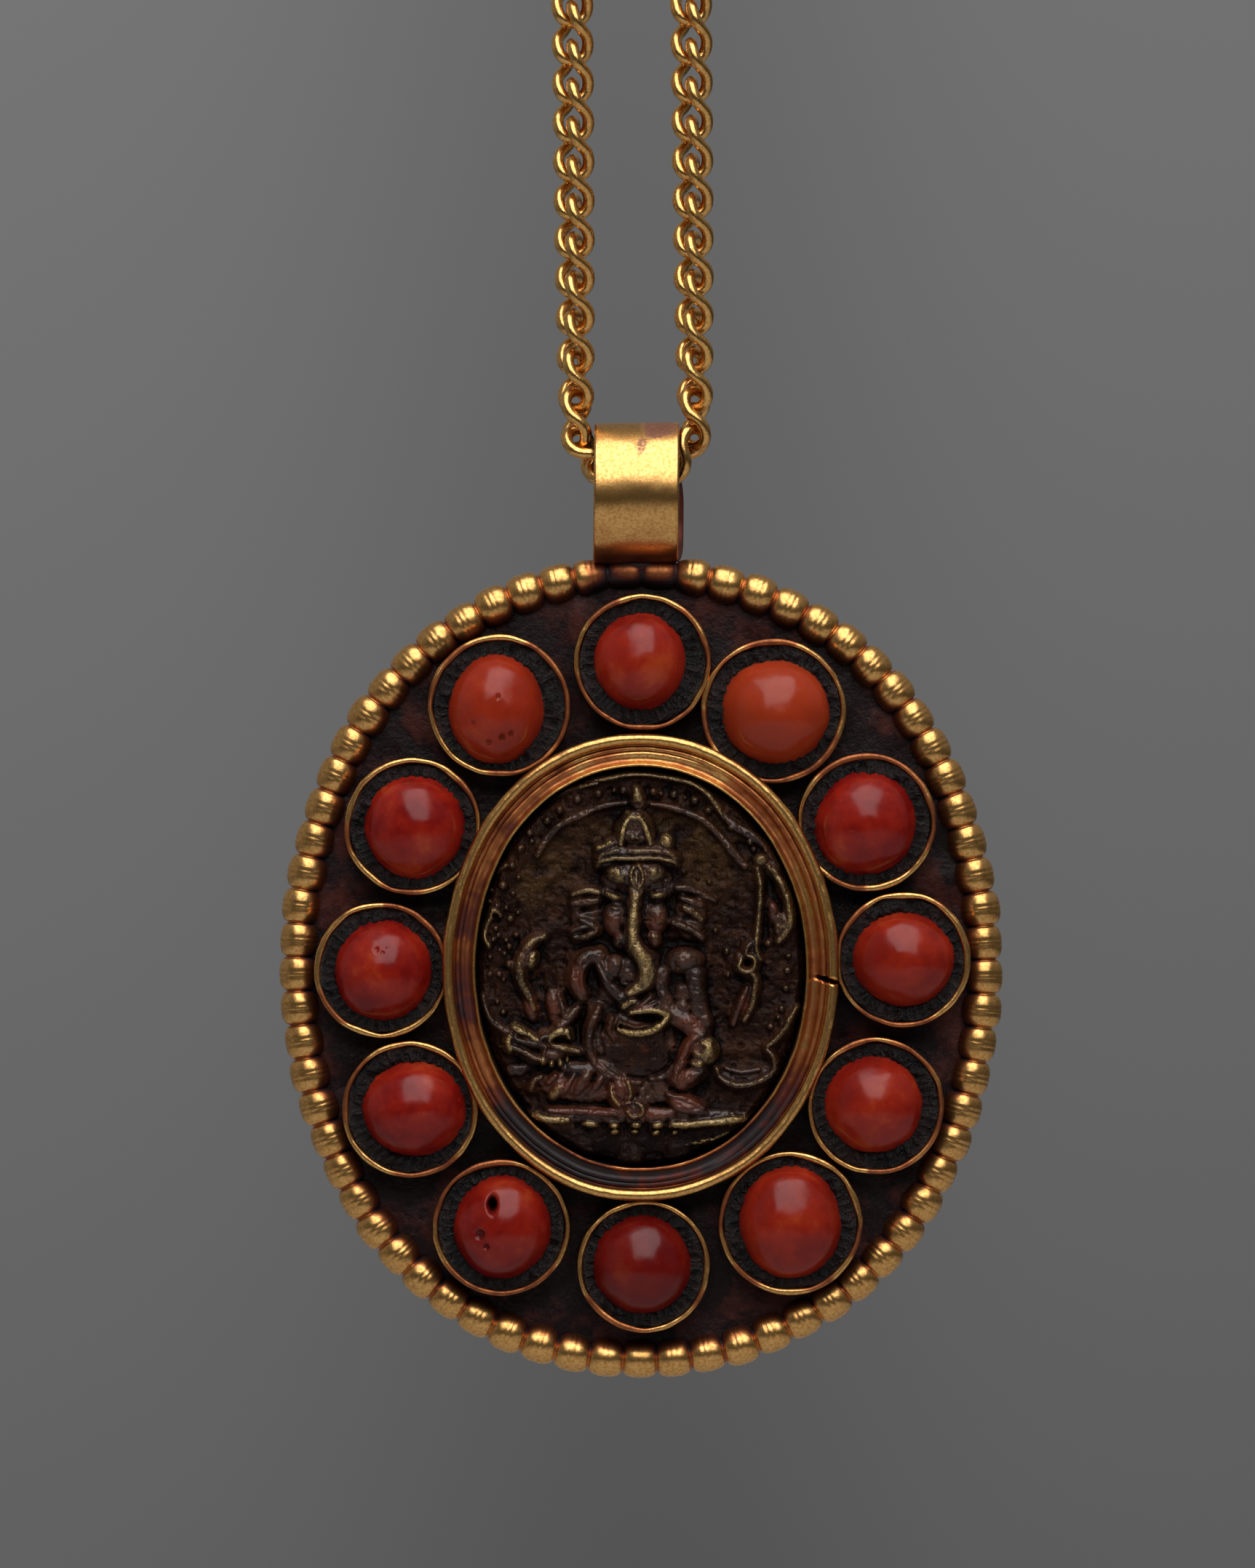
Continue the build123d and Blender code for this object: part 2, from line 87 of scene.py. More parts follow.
pendant_level = -225.637
LINK_PITCH = 3.69
LINK_HALF_LENGTH = 2.69
LINK_HALF_WIDTH = 1.397
END_TWIST = -60
SIDE_LEAN = -58.5
STRAND_ROLL = -180
ROLL_LEAN = 0.55
SIDE_HEADING = 28
END_HEADING = 62
PLATE_CORNER = 0.92
BEZEL_CORNER = 1.0

# Sizes that only the looks have
bead_radius = 1.08
bead_under_bail = 0.86
bail_width = 4.7
link_wire = 0.66
rim_wall = 0.31

# Each collet and its coral: the cup's turn clockwise from the top, how far out it stands and how
# large it is, the coral's size and slip, then how wide and how high the coral is
Cup = namedtuple("Cup", "turn out size coral slip_across slip_up wide high")
CUPS = [
    Cup(1, 1.036, 0.99, 0.97, -0.5, 0.2, 0.97, 1.01),
    Cup(31, 1.010, 1.05, 1.00, 0.4, -0.1, 1.01, 0.98),
    Cup(61, 1.000, 1.00, 1.02, -0.1, -0.5, 1.00, 1.00),
    Cup(89, 1.010, 0.98, 1.00, 0.2, 0.0, 1.03, 0.95),
    Cup(118, 1.020, 0.99, 0.99, -0.6, 0.4, 1.00, 0.98),
    Cup(147, 1.041, 1.04, 1.03, 0.1, 0.2, 0.95, 1.05),
    Cup(180, 1.014, 0.96, 1.01, -0.5, 0.5, 0.99, 1.01),
    Cup(212, 1.036, 0.99, 1.02, 0.5, 0.1, 0.98, 1.02),
    Cup(242, 1.012, 0.99, 1.00, 0.8, 0.3, 1.04, 0.95),
    Cup(270, 1.000, 0.98, 1.01, 0.4, -0.4, 0.98, 1.02),
    Cup(299, 1.000, 0.99, 1.02, 0.5, -0.2, 0.98, 1.02),
    Cup(329, 1.040, 1.03, 0.98, -0.6, -0.5, 0.95, 1.06),
]

# Sizes that follow
bezel_width = (
    bezel_lip + bezel_valley + 2 * bezel_wire_radius + bezel_groove + 2 * bezel_roll_radius
)
bezel_half_width = medallion_half_width + bed_side_gap + bezel_width
bezel_half_height = medallion_half_height + bed_side_gap + bezel_width
wall_half_width = bezel_half_width - bezel_roll_radius
wall_half_height = bezel_half_height - bezel_roll_radius
half_share = sin(pi / len(CUPS))
collet_radius = (
    collet_fill * (wall_half_width + wall_half_height) / 2 * half_share / (1 - half_share)
)
ring_half_width = wall_half_width + collet_radius - collet_tuck
ring_half_height = wall_half_height + collet_radius - collet_tuck
plate_half_width = ring_half_width + collet_radius + side_margin
plate_half_height = ring_half_height + collet_radius + end_margin
coral_radius = collet_radius - collet_wall - cement_width
link_pitch = LINK_PITCH * chain_wire


def noise(points, size, seed):
    """Smooth noise from -1 to 1, with lumps of about the given size."""
    side = 32
    table = np.random.default_rng(seed).uniform(-1, 1, (side, side, side))
    cell = np.asarray(points, float) / size
    low = np.floor(cell).astype(int)
    share = cell - low
    share = share * share * (3 - 2 * share)
    total = np.zeros(cell.shape[:-1])
    for corner in np.ndindex(2, 2, 2):
        weight = np.prod(np.where(corner, share, 1 - share), axis=-1)
        place = (low + corner) % side
        total += weight * table[place[..., 0], place[..., 1], place[..., 2]]
    return total


def lumps(points, size, seed, octaves=3):
    """Noise with finer and weaker noise on it."""
    return sum(noise(points, size / 2**n, seed + n) / 2**n for n in range(octaves))


def ease(value, low, high):
    """A smooth step from 0 at low to 1 at high."""
    share = np.clip((value - low) / (high - low), 0, 1)
    return share * share * (3 - 2 * share)


def turns(count):
    """Angles evenly round a circle."""
    return np.arange(count) / count * 2 * pi


def joined(x, y, z):
    """Points from their three parts, which are spread to one shape."""
    return np.stack(np.broadcast_arrays(x, y, z), -1)


def hung(points):
    """Points of the flat pendant where they hang, in one list."""
    x, y, z = np.moveaxis(points, -1, 0)
    return joined(x, floor_back - z, pendant_level + y).reshape(-1, 3)


def grid_faces(rows, columns, first=0, close_rows=True):
    """Four-sided faces between rows of points, each row a closed ring."""
    row = np.arange(rows if close_rows else rows - 1)[:, None]
    column = np.arange(columns)[None, :]
    next_row, next_column = (row + 1) % rows, (column + 1) % columns
    corners = [(row, column), (row, next_column), (next_row, next_column), (next_row, column)]
    return first + np.stack([r * columns + c for r, c in corners], -1).reshape(-1, 4)


def fan(ring, middle):
    """Triangles that close a ring of points, the last row of its grid."""
    return np.stack([np.full(len(ring), middle), ring, np.roll(ring, -1)], -1)


def volume(points, faces):
    """Six times the volume that the faces enclose, below nought where they face inward."""
    a, b, c, *d = (points[faces[:, n]] for n in range(faces.shape[1]))
    total = np.einsum("ij,ij->", a, np.cross(b, c))
    return total + np.einsum("ij,ij->", a, np.cross(c, d[0])) if d else total


def make_piece(name, points, faces, look, slot, node, body="pendant", **masks):
    """A mesh in the place of a node, with a number at each point for every mask of its look."""
    if sum(volume(points, block) for block in faces) < 0:
        faces = [block[:, ::-1] for block in faces]
    mesh = bpy.data.meshes.new(name)
    rows = [face for block in faces for face in block.tolist()]
    mesh.from_pydata((points * MM).tolist(), [], rows)
    mesh.polygons.foreach_set("use_smooth", np.ones(len(mesh.polygons), bool))
    for key, values in masks.items():
        mask = mesh.attributes.new(key, "FLOAT", "POINT")
        mask.data.foreach_set("value", np.ascontiguousarray(np.ravel(values), np.float32))
    mesh.update()
    mesh.materials.append(look)
    piece = bpy.data.objects.new(name, mesh)
    bpy.context.scene.collection.objects.link(piece)
    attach(piece, body)
    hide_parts(node)


def oval(half_width, half_height, corner_share, count):
    """Points evenly spaced round an oval of eight tangent arcs, and the way outward at each."""
    corner = corner_share * half_width
    side, end = radians(SIDE_HEADING), radians(END_HEADING)
    width = half_width - corner * (cos(side) - cos(end))
    height = half_height - corner * (sin(end) - sin(side))
    scale = (1 - cos(side)) * (1 - sin(end)) - cos(end) * sin(side)
    side_radius = (width * (1 - sin(end)) - height * cos(end)) / scale
    end_radius = (height * (1 - cos(side)) - width * sin(side)) / scale
    radii = np.array([side_radius, corner, end_radius, corner] * 2)
    bends = np.array([2 * side, end - side, pi - 2 * end, end - side] * 2)
    headings = -side + np.concatenate([[0], np.cumsum(bends)[:-1]])
    centres = [np.array([half_width - side_radius, 0.0])]
    for n in range(7):
        way = np.array([cos(headings[n + 1]), sin(headings[n + 1])])
        centres.append(centres[-1] + way * (radii[n] - radii[n + 1]))
    lengths = radii * bends
    starts = np.concatenate([[0], np.cumsum(lengths)[:-1]])
    steps = np.arange(count) * lengths.sum() / count
    arc = np.searchsorted(starts, steps, side="right") - 1
    angle = headings[arc] + (steps - starts[arc]) / radii[arc]
    ways = np.stack([np.cos(angle), np.sin(angle)], -1)
    return np.array(centres)[arc] + radii[arc][:, None] * ways, ways


def cup_centre(cup):
    turn = radians(cup.turn)
    return np.array([ring_half_width * cup.out * sin(turn), ring_half_height * cup.out * cos(turn)])


def cup_bore(cup):
    return collet_radius * cup.size - collet_wall


def coral_size(cup):
    return min(coral_radius * cup.coral * cup.size, cup_bore(cup) - cement_least - fit_gap)


def coral_centre(cup):
    room = cup_bore(cup) - coral_size(cup) - cement_least
    return cup_centre(cup) + np.array([cup.slip_across, cup.slip_up]) * room / sqrt(2)


# Materials


class Nodes:
    """A short way to write a material's nodes."""

    def __init__(self, name):
        self.material = bpy.data.materials.new(name)
        self.material.use_nodes = True
        self.tree = self.material.node_tree
        self.shader = self.tree.nodes["Principled BSDF"]
        self.place = self.add("ShaderNodeTexCoord").outputs["Object"]

    def add(self, kind, **settings):
        node = self.tree.nodes.new(kind)
        for key, value in settings.items():
            setattr(node, key, value)
        return node

    def feed(self, socket, value):
        if isinstance(value, bpy.types.NodeSocket):
            self.tree.links.new(value, socket)
        elif socket.type == "RGBA" and isinstance(value, tuple):
            socket.default_value = (*value, 1)
        else:
            socket.default_value = value

    def mask(self, name):
        return self.add("ShaderNodeAttribute", attribute_name=name).outputs["Fac"]

    def noise(self, size, detail=3.0, roughness=0.6):
        """Noise from 0 to 1 with lumps of the given size in millimetres."""
        node = self.add("ShaderNodeTexNoise")
        node.inputs["Scale"].default_value = 1 / (size * MM)
        node.inputs["Detail"].default_value = detail
        node.inputs["Roughness"].default_value = roughness
        self.feed(node.inputs["Vector"], self.place)
        return node.outputs["Fac"]

    def math(self, operation, first, second, clamp=False):
        node = self.add("ShaderNodeMath", operation=operation, use_clamp=clamp)
        self.feed(node.inputs[0], first)
        self.feed(node.inputs[1], second)
        return node.outputs[0]

    def vary(self, value, *spreads):
        """The value, with each noise added about its middle and as strong as said."""
        for source, strength in spreads:
            share = self.math("MULTIPLY", self.math("SUBTRACT", source, 0.5), strength)
            value = self.math("ADD", value, share)
        return value

    def ease(self, value, low, high, to_low=0.0, to_high=1.0):
        node = self.add("ShaderNodeMapRange", interpolation_type="SMOOTHSTEP")
        for number, item in enumerate((value, low, high, to_low, to_high)):
            self.feed(node.inputs[number], item)
        return node.outputs[0]

    def mix(self, share, first, second):
        node = self.add("ShaderNodeMix", data_type="RGBA")
        for number, item in ((0, share), (6, first), (7, second)):
            self.feed(node.inputs[number], item)
        return node.outputs[2]

    def bump(self, height, strength, distance):
        node = self.add("ShaderNodeBump")
        node.inputs["Strength"].default_value = strength
        node.inputs["Distance"].default_value = distance * MM
        self.feed(node.inputs["Height"], height)
        return node.outputs["Normal"]

    def set(self, **values):
        for key, value in values.items():
            self.feed(self.shader.inputs[key.replace("_", " ")], value)
        return self.material


GOLD = (0.78, 0.44, 0.15)
GOLD_SHADE = (0.55, 0.27, 0.075)
CHAIN_GOLD = (0.84, 0.48, 0.16)
CHAIN_SHADE = (0.64, 0.33, 0.09)
COPPER = (0.50, 0.175, 0.06)
DARK_RED = (0.11, 0.022, 0.014)
SOOT = (0.014, 0.005, 0.006)
STAIN = (0.24, 0.092, 0.055)


def gilt_material(name, gold, shade, roughness=0.3, wear=0.35, dimples=0.3):
    """Gilt metal. Its patina, with the painted shade that some pieces add to it, runs from clean
    gold through red copper to black.
    """
    n = Nodes(name)
    cloud = n.noise(0.9, 4)
    fine = n.noise(0.16, 3)
    patina = n.vary(n.mask("patina"), (cloud, wear), (fine, wear * 0.5))
    colour = n.mix(n.ease(fine, 0.35, 0.7), gold, shade)
    colour = n.mix(n.ease(patina, 0.22, 0.5), colour, COPPER)
    colour = n.mix(n.ease(patina, 0.45, 0.8), colour, DARK_RED)
    colour = n.mix(n.ease(patina, 0.75, 1.0), colour, SOOT)
    stain = n.ease(n.vary(n.mask("stain"), (fine, 1.1)), 0.25, 1.1)
    bare = n.math("SUBTRACT", 1.0, n.math("MULTIPLY", stain, 0.6))
    rough = n.vary(n.ease(patina, 0.2, 0.8, roughness, 0.5), (fine, 0.16))
    return n.set(
        Base_Color=n.mix(stain, colour, STAIN),
        Metallic=n.math("MULTIPLY", n.ease(patina, 0.6, 1.0, 1.0, 0.15), bare),
        Roughness=n.math("ADD", rough, n.math("MULTIPLY", stain, 0.15)),
        Normal=n.bump(n.math("ADD", fine, cloud), dimples, 0.03),
    )


def coral_material(name):
    """Coral red with orange clouds and veins. Some corals are more orange, and the lowest are
    painted darker, as shade where the light falls off towards the bottom.
    """
    n = Nodes(name)
    deep, red = (0.185, 0.0045, 0.0035), (0.30, 0.014, 0.006)
    orange, vein = (0.40, 0.048, 0.012), (0.44, 0.075, 0.02)
    more_orange, painted_shade_red, pit = (0.42, 0.052, 0.012), (0.075, 0.003, 0.0025), (0.02, 0.004, 0.003)
    cloud = n.noise(2.6, 4, 0.62)
    fine = n.noise(0.5, 4, 0.7)
    tone = n.mask("tone")
    colour = n.mix(n.ease(cloud, 0.36, 0.6), deep, red)
    colour = n.mix(n.ease(cloud, 0.56, 0.74), colour, orange)
    colour = n.mix(n.math("MULTIPLY", tone, 0.8, clamp=True), colour, more_orange)
    # painted shade: the lowest corals are mixed towards a dark red
    colour = n.mix(n.math("MULTIPLY", tone, -0.8, clamp=True), colour, painted_shade_red)
    colour = n.mix(n.ease(fine, 0.66, 0.88), colour, vein)
    n.shader.subsurface_method = "RANDOM_WALK"
    return n.set(
        Base_Color=n.mix(n.mask("pit"), colour, pit),
        Roughness=n.ease(fine, 0.3, 0.8, 0.17, 0.30),
        Subsurface_Weight=0.3,
        Subsurface_Radius=(0.0012, 0.0003, 0.0002),
        Subsurface_Scale=0.5,
        IOR=1.34,
        Normal=n.bump(fine, 0.16, 0.05),
    )


def cement_material(name):
    """Near-black resin, lumpy and half glossy."""
    n = Nodes(name)
    fine = n.noise(0.22, 4, 0.6)
    cloud = n.ease(n.noise(1.6, 3), 0.4, 0.7)
    return n.set(
        Base_Color=n.mix(cloud, (0.003, 0.0015, 0.0016), (0.016, 0.0045, 0.004)),
        Roughness=n.ease(fine, 0.3, 0.7, 0.09, 0.24),
        IOR=1.42,
        Normal=n.bump(fine, 1.0, 0.28),
    )


def plate_material(name):
    """Dark red lacquer in front, tarnished gilt metal behind."""
    n = Nodes(name)
    fine = n.noise(0.3, 4, 0.65)
    cloud = n.noise(2.4, 4, 0.6)
    front = n.mix(n.ease(cloud, 0.45, 0.72), (0.010, 0.003, 0.003), (0.075, 0.016, 0.010))
    front = n.mix(n.ease(fine, 0.6, 0.85), front, (0.11, 0.030, 0.018))
    back = n.mix(n.ease(cloud, 0.3, 0.8), (0.48, 0.29, 0.10), (0.30, 0.14, 0.05))
    return n.set(
        Base_Color=n.mix(n.mask("back"), front, back),
        Metallic=n.math("MULTIPLY", n.mask("back"), 0.95),
        Roughness=n.ease(fine, 0.3, 0.7, 0.3, 0.5),
        IOR=1.3,
        Normal=n.bump(n.math("ADD", fine, cloud), 0.6, 0.08),
    )


def bronze_material(name):
    """Cast bronze: black brown in the hollows, red brown lacquer, brass where it is rubbed."""
    n = Nodes(name)
    black, black_brown, brown = (0.005, 0.0022, 0.0018), (0.026, 0.009, 0.005), (0.072, 0.025, 0.011)
    red_brown, olive_brown, brass = (0.13, 0.030, 0.012), (0.058, 0.027, 0.008), (0.33, 0.22, 0.09)
    fine = n.noise(0.15, 4, 0.6)
    cloud = n.noise(1.5, 4, 0.6)
    hollow = n.mask("hollow")
    worn = n.vary(n.mask("worn"), (fine, 1.5))
    red = n.vary(n.mask("red"), (cloud, 0.8))
    olive = n.math("MULTIPLY", n.mask("olive"), n.ease(cloud, 0.35, 0.6))
    colour = n.mix(n.ease(cloud, 0.4, 0.65), black_brown, brown)
    colour = n.mix(n.ease(red, 0.2, 1.3), colour, red_brown)
    colour = n.mix(n.ease(hollow, 0.1, 0.9), colour, black)
    colour = n.mix(olive, colour, olive_brown)
    return n.set(
        Base_Color=n.mix(n.ease(worn, 0.4, 1.05), colour, brass),
        Metallic=n.ease(worn, 0.3, 0.9, 0.3, 1.0),
        Roughness=n.ease(fine, 0.3, 0.7, 0.12, 0.32),
        Coat_Weight=n.ease(hollow, 0.0, 0.5, 0.5, 0.03),
        Coat_Roughness=0.12,
        IOR=n.ease(hollow, 0.0, 0.5, 1.4, 1.2),
        Normal=n.bump(fine, 0.85, 0.11),
    )


gilt = gilt_material("gilt_setting", GOLD, GOLD_SHADE)
bail_gilt = gilt_material("bail_gilt", GOLD, GOLD_SHADE, 0.27, 0.10, 0.10)
gilt_chain = gilt_material("gilt_chain", CHAIN_GOLD, CHAIN_SHADE, 0.24, 0.25)
coral_look = coral_material("coral")
cement_look = cement_material("dark_cement")
plate_look = plate_material("plate_lacquer")
bronze_look = bronze_material("cast_bronze")


# The setting


def make_bead_rim():
    """A beaded wire round the plate, with lower beads under the bail that are painted darker, for
    the shade under the bail on top of their patina.
    """
    along, around = 22, 22
    half_pitch = 0.9285
    groove_place, groove_width, groove_depth = 0.13, 0.055, 0.040
    rings = bead_count * along
    points, ways = oval(plate_half_width, plate_half_height, PLATE_CORNER, rings)
    number = np.arange(rings) // along
    place = ((np.arange(rings) % along) / along - 0.5) * 2
    draw = np.random.default_rng(11)
    size = 1 + draw.uniform(-0.035, 0.035, bead_count)[number]
    shift = draw.uniform(-0.03, 0.03, bead_count)[number]
    from_top = np.abs(np.arctan2(points[:, 0], points[:, 1]))
    under = ease(-from_top, -0.17, -0.08)
    radius = (bead_radius + (bead_under_bail - bead_radius) * under) * size
    swell = np.clip(1 - np.abs(place) ** 2.1, 0, 1) ** 0.5
    profile = bead_core_radius + (radius - bead_core_radius) * swell
    for groove in (-groove_place, groove_place):
        profile -= groove_depth * np.exp(-(((place * half_pitch - groove) / groove_width) ** 2))
    angle = turns(around)
    out = profile[:, None] * np.cos(angle) + shift[:, None]
    up = profile[:, None] * np.sin(angle) * 0.97 + bead_lift
    mesh = joined(points[:, :1] + ways[:, :1] * out, points[:, 1:] + ways[:, 1:] * out, up)
    mesh[..., 2] += 0.012 * noise(mesh, 0.5, 5)
    inner = ease(-np.cos(angle), 0.05, 0.95)
    neck = np.abs(place[:, None]) ** 5
    # the beads under the bail are painted darker: shade under the bail, on top of their patina
    patina = 0.62 * inner + 0.58 * neck + 0.16 * noise(mesh, 2.2, 8) + 0.62 * under[:, None]
    back = ease(-np.sin(angle), 0.3, 0.8)
    patina = patina * (1 - 0.5 * back) + 0.3 * back
    make_piece(
        "bead_rim", hung(mesh), [grid_faces(rings, around)], gilt, "gilt_setting", "setting",
        patina=patina,
    )


def make_plate():
    """The back plate, lumpy in front and smoother behind."""
    count, rows = 360, 30
    edge, _ = oval(plate_half_width, plate_half_height, PLATE_CORNER, count)
    share = np.linspace(0.02, 1, rows)[:, None, None]
    front = np.concatenate([edge[None] * share, np.zeros((rows, count, 1))], -1)
    front[..., 2] += 0.10 * lumps(front, 1.6, 21) * ease(1 - share[..., 0], 0, 0.06)
    back = front[::-1].copy()
    back[..., 2] = -plate_thickness + 0.03 * noise(back, 3.0, 25)
    middles = [[0, 0, 0.0], [0, 0, -plate_thickness]]
    points = np.concatenate([front.reshape(-1, 3), back.reshape(-1, 3), middles])
    centre = len(points) - 2
    ring = np.arange(count)
    faces = [
        grid_faces(2 * rows, count, close_rows=False),
        fan(ring, centre)[:, ::-1],
        fan(centre - count + ring, centre + 1),
    ]
    make_piece(
        "back_plate", hung(points), faces, plate_look, "gilt_setting", "setting",
        back=points[:, 2] < -plate_thickness / 2,
    )


def make_collets():
    """The rims round the corals, each a little uneven and bare copper in places."""
    around = 120
    angle = turns(around)
    # inward from the rim's outer side, and up from the plate
    section = np.array([
        (collet_wall, -0.2), (collet_wall * 0.98, 1.0), (rim_wall + 0.03, 1.8), (rim_wall, 2.1),
        (rim_wall - 0.05, 2.17), (rim_wall * 0.5, 2.2), (0.05, 2.17), (0.0, 2.1), (0.0, 1.6),
        (0.0, 0.8), (0.0, -0.2),
    ])
    depth, level = section[:, :1], section[:, 1:]
    meshes, faces, patinas = [], [], []
    for number, cup in enumerate(CUPS):
        circle = joined(np.cos(angle), np.sin(angle), float(number))
        wave = 0.035 * noise(circle * 2.2, 1.0, 31) + 0.02 * noise(circle * 6, 1.0, 33)
        thick = 1 + 0.22 * noise(circle * 3.0, 1.0, 35)
        high = 0.05 * noise(circle * 2.6, 1.0, 37) + 0.02 * noise(circle * 9, 1.0, 39)
        reach = collet_radius * cup.size + wave - depth * thick
        lift = level + high * ease(level, 1.0, 2.0)
        x, y = cup_centre(cup)
        mesh = joined(x + reach * np.cos(angle), y + reach * np.sin(angle), lift)
        copper = ease(noise(mesh, 1.9, 41), -0.25, 0.25) * 0.62
        side = ease(2.12 - level, 0.0, 0.35)
        meshes.append(mesh)
        patinas.append(copper + 0.85 * side)
        faces.append(grid_faces(len(section), around, number * reach.size))
    make_piece(
        "collets", hung(np.concatenate(meshes)), faces, gilt, "gilt_setting", "setting",
        patina=np.concatenate(patinas),
    )


WIRE_PATINA = 0.40


def bezel_section():
    """The bezel's outline from its inner foot to its outer foot, outward and up, with patina and, on
    the roll's outer flank, painted shade.
    """
    wire_middle = bezel_lip + bezel_valley + bezel_wire_radius
    roll_middle = wire_middle + bezel_wire_radius + bezel_groove + bezel_roll_radius
    wire_level = bezel_height - bezel_wire_radius - 0.27
    roll_level = bezel_height - bezel_roll_radius
    floor_level = bezel_height - valley_depth
    rows = [
        (0.0, -0.3, 1.0), (0.0, 1.2, 1.0), (0.0, 2.0, 0.9), (0.0, 2.4, 0.6),
        (0.03, 2.50, 0.15), (0.08, 2.55, 0.0), (0.14, 2.53, 0.05), (0.20, 2.44, 0.35),
        (0.30, floor_level + 0.06, 0.55), (0.45, floor_level, 0.50),
        (0.62, floor_level + 0.05, 0.46), (0.76, floor_level + 0.16, 0.46),
    ]
    for a in np.radians(np.linspace(160, 20, 9)):
        out, up = bezel_wire_radius * cos(a), bezel_wire_radius * sin(a)
        rows.append((wire_middle + out, wire_level + up, WIRE_PATINA))
    rows.append((wire_middle + bezel_wire_radius + 0.025, wire_level + 0.02, 0.52))
    # the roll: gold on its crest, and painted shade with tarnish on its outer flank, which faces
    # down to the plate
    for turn in np.linspace(160, -80, 15):
        a = radians(turn)
        out, up = bezel_roll_radius * cos(a), bezel_roll_radius * sin(a)
        rows.append((roll_middle + out, roll_level + up, 0.05 + 0.55 * ease(-turn, -15, 60)))
    rows += [(roll_middle + 0.01, level, 1.0) for level in (2.2, 1.0, -0.3)]
    return np.array(rows)


def make_bezel():
    """The band round the medallion: lip, valley, thin wire and outer roll, cut by a seam."""
    count = 720
    section = bezel_section()
    out, level, tarnish_and_shade = section[:, :1], section[:, 1:2], section[:, 2:]
    inner_half = np.array([bezel_half_width, bezel_half_height]) - bezel_width
    edge, ways = oval(*inner_half, BEZEL_CORNER, count)
    flat = edge[None] + ways[None] * out[..., None]
    mesh = joined(flat[..., 0], flat[..., 1], level)
    top = ease(level, 1.6, 2.3)
    dent = 0.03 * noise(mesh, 1.5, 51) + 0.018 * noise(mesh, 0.5, 53)
    sway = 0.05 * noise(mesh * [1, 1, 0], 4.0, 55)
    # the wire lies lower on the left
    wire = np.isclose(tarnish_and_shade, WIRE_PATINA)
    mesh[..., 2] -= wire * 0.30 * (1 - ease(mesh[..., 0], 0.0, 7.0))
    mesh[..., 2] += top * dent
    mesh[..., :2] += (top * (sway + 0.6 * dent))[..., None] * ways[None]
    # the seam, where the band's two ends meet
    turn = radians(seam_turn)
    across = -mesh[..., 0] * sin(turn) + mesh[..., 1] * cos(turn)
    lean = 0.25 * (out - 1.0)
    near = np.exp(-(((across + lean) / (seam_width * 0.5)) ** 4)) * (mesh[..., 0] > 0)
    near *= ease(out, 0.5, 0.95)
    mesh[..., 2] -= near * seam_depth * top
    # darker in the valley at the left; within the roll at the bottom, painted shade with tarnish
    inward = ease(1.45 - out, 0.0, 0.5)
    valley = inward * ease(out, 0.15, 0.3)
    patina = tarnish_and_shade + 0.16 * noise(mesh, 1.1, 57) + 0.12 * noise(mesh, 0.35, 58)
    patina += 0.20 * noise(mesh * [1, 1, 0], 3.0, 56) + 0.12 * wire
    patina += 0.50 * inward * ease(-mesh[..., 1], 4.0, 11.0)
    patina += 0.17 * valley * ease(-mesh[..., 0], -2.0, 6.0)
    make_piece(
        "bezel", hung(mesh), [grid_faces(len(section), count)], gilt, "gilt_setting", "setting",
        patina=patina + near,
    )


def bail_line(radius, front_radius, count):
    """Points round the bail's section, as back and up from its hinge, and the ways outward."""
    bulge = np.arcsin(bail_leg / 2 / (front_radius - radius))
    middle = sqrt((front_radius - radius) ** 2 - (bail_leg / 2) ** 2)
    arcs = [
        ((0, 0), radius, 0, pi - bulge),
        ((middle, -bail_leg / 2), front_radius, pi - bulge, 2 * bulge),
        ((0, -bail_leg), radius, pi + bulge, pi - bulge),
    ]
    points, ways = [], []
    for centre, size, start, bend in arcs:
        for angle in start + bend * (np.arange(count) + 0.5) / count:
            way = np.array([cos(angle), sin(angle)])
            points.append(np.array(centre) + way * size)
            ways.append(way)
    for share in (np.arange(count // 3) + 0.5) / (count // 3):
        points.append(np.array([radius, -bail_leg * (1 - share)]))
        ways.append(np.array([1.0, 0.0]))
    return np.array(points), np.array(ways)


def strip_outline():
    """The bail strip's outline: across, and inward from its outer face."""
    half, soft, bevel = bail_width / 2, 0.13, 0.06
    bend = np.radians([60, 30, 0])
    corner = np.stack([half - soft + soft * np.cos(bend), soft - soft * np.sin(bend)], -1)
    face = [(across, 0.0) for across in np.linspace(-half + soft, half - soft, 24)]
    edge = [(half, bail_strip - bevel), (half - bevel, bail_strip)]
    inside = [(across, bail_strip) for across in np.linspace(half - 0.5, -half + 0.5, 8)]
    back_edge = [(-half + bevel, bail_strip), (-half, bail_strip - bevel)]
    return np.concatenate([face, corner, edge, inside, back_edge, corner[::-1] * [-1, 1]])


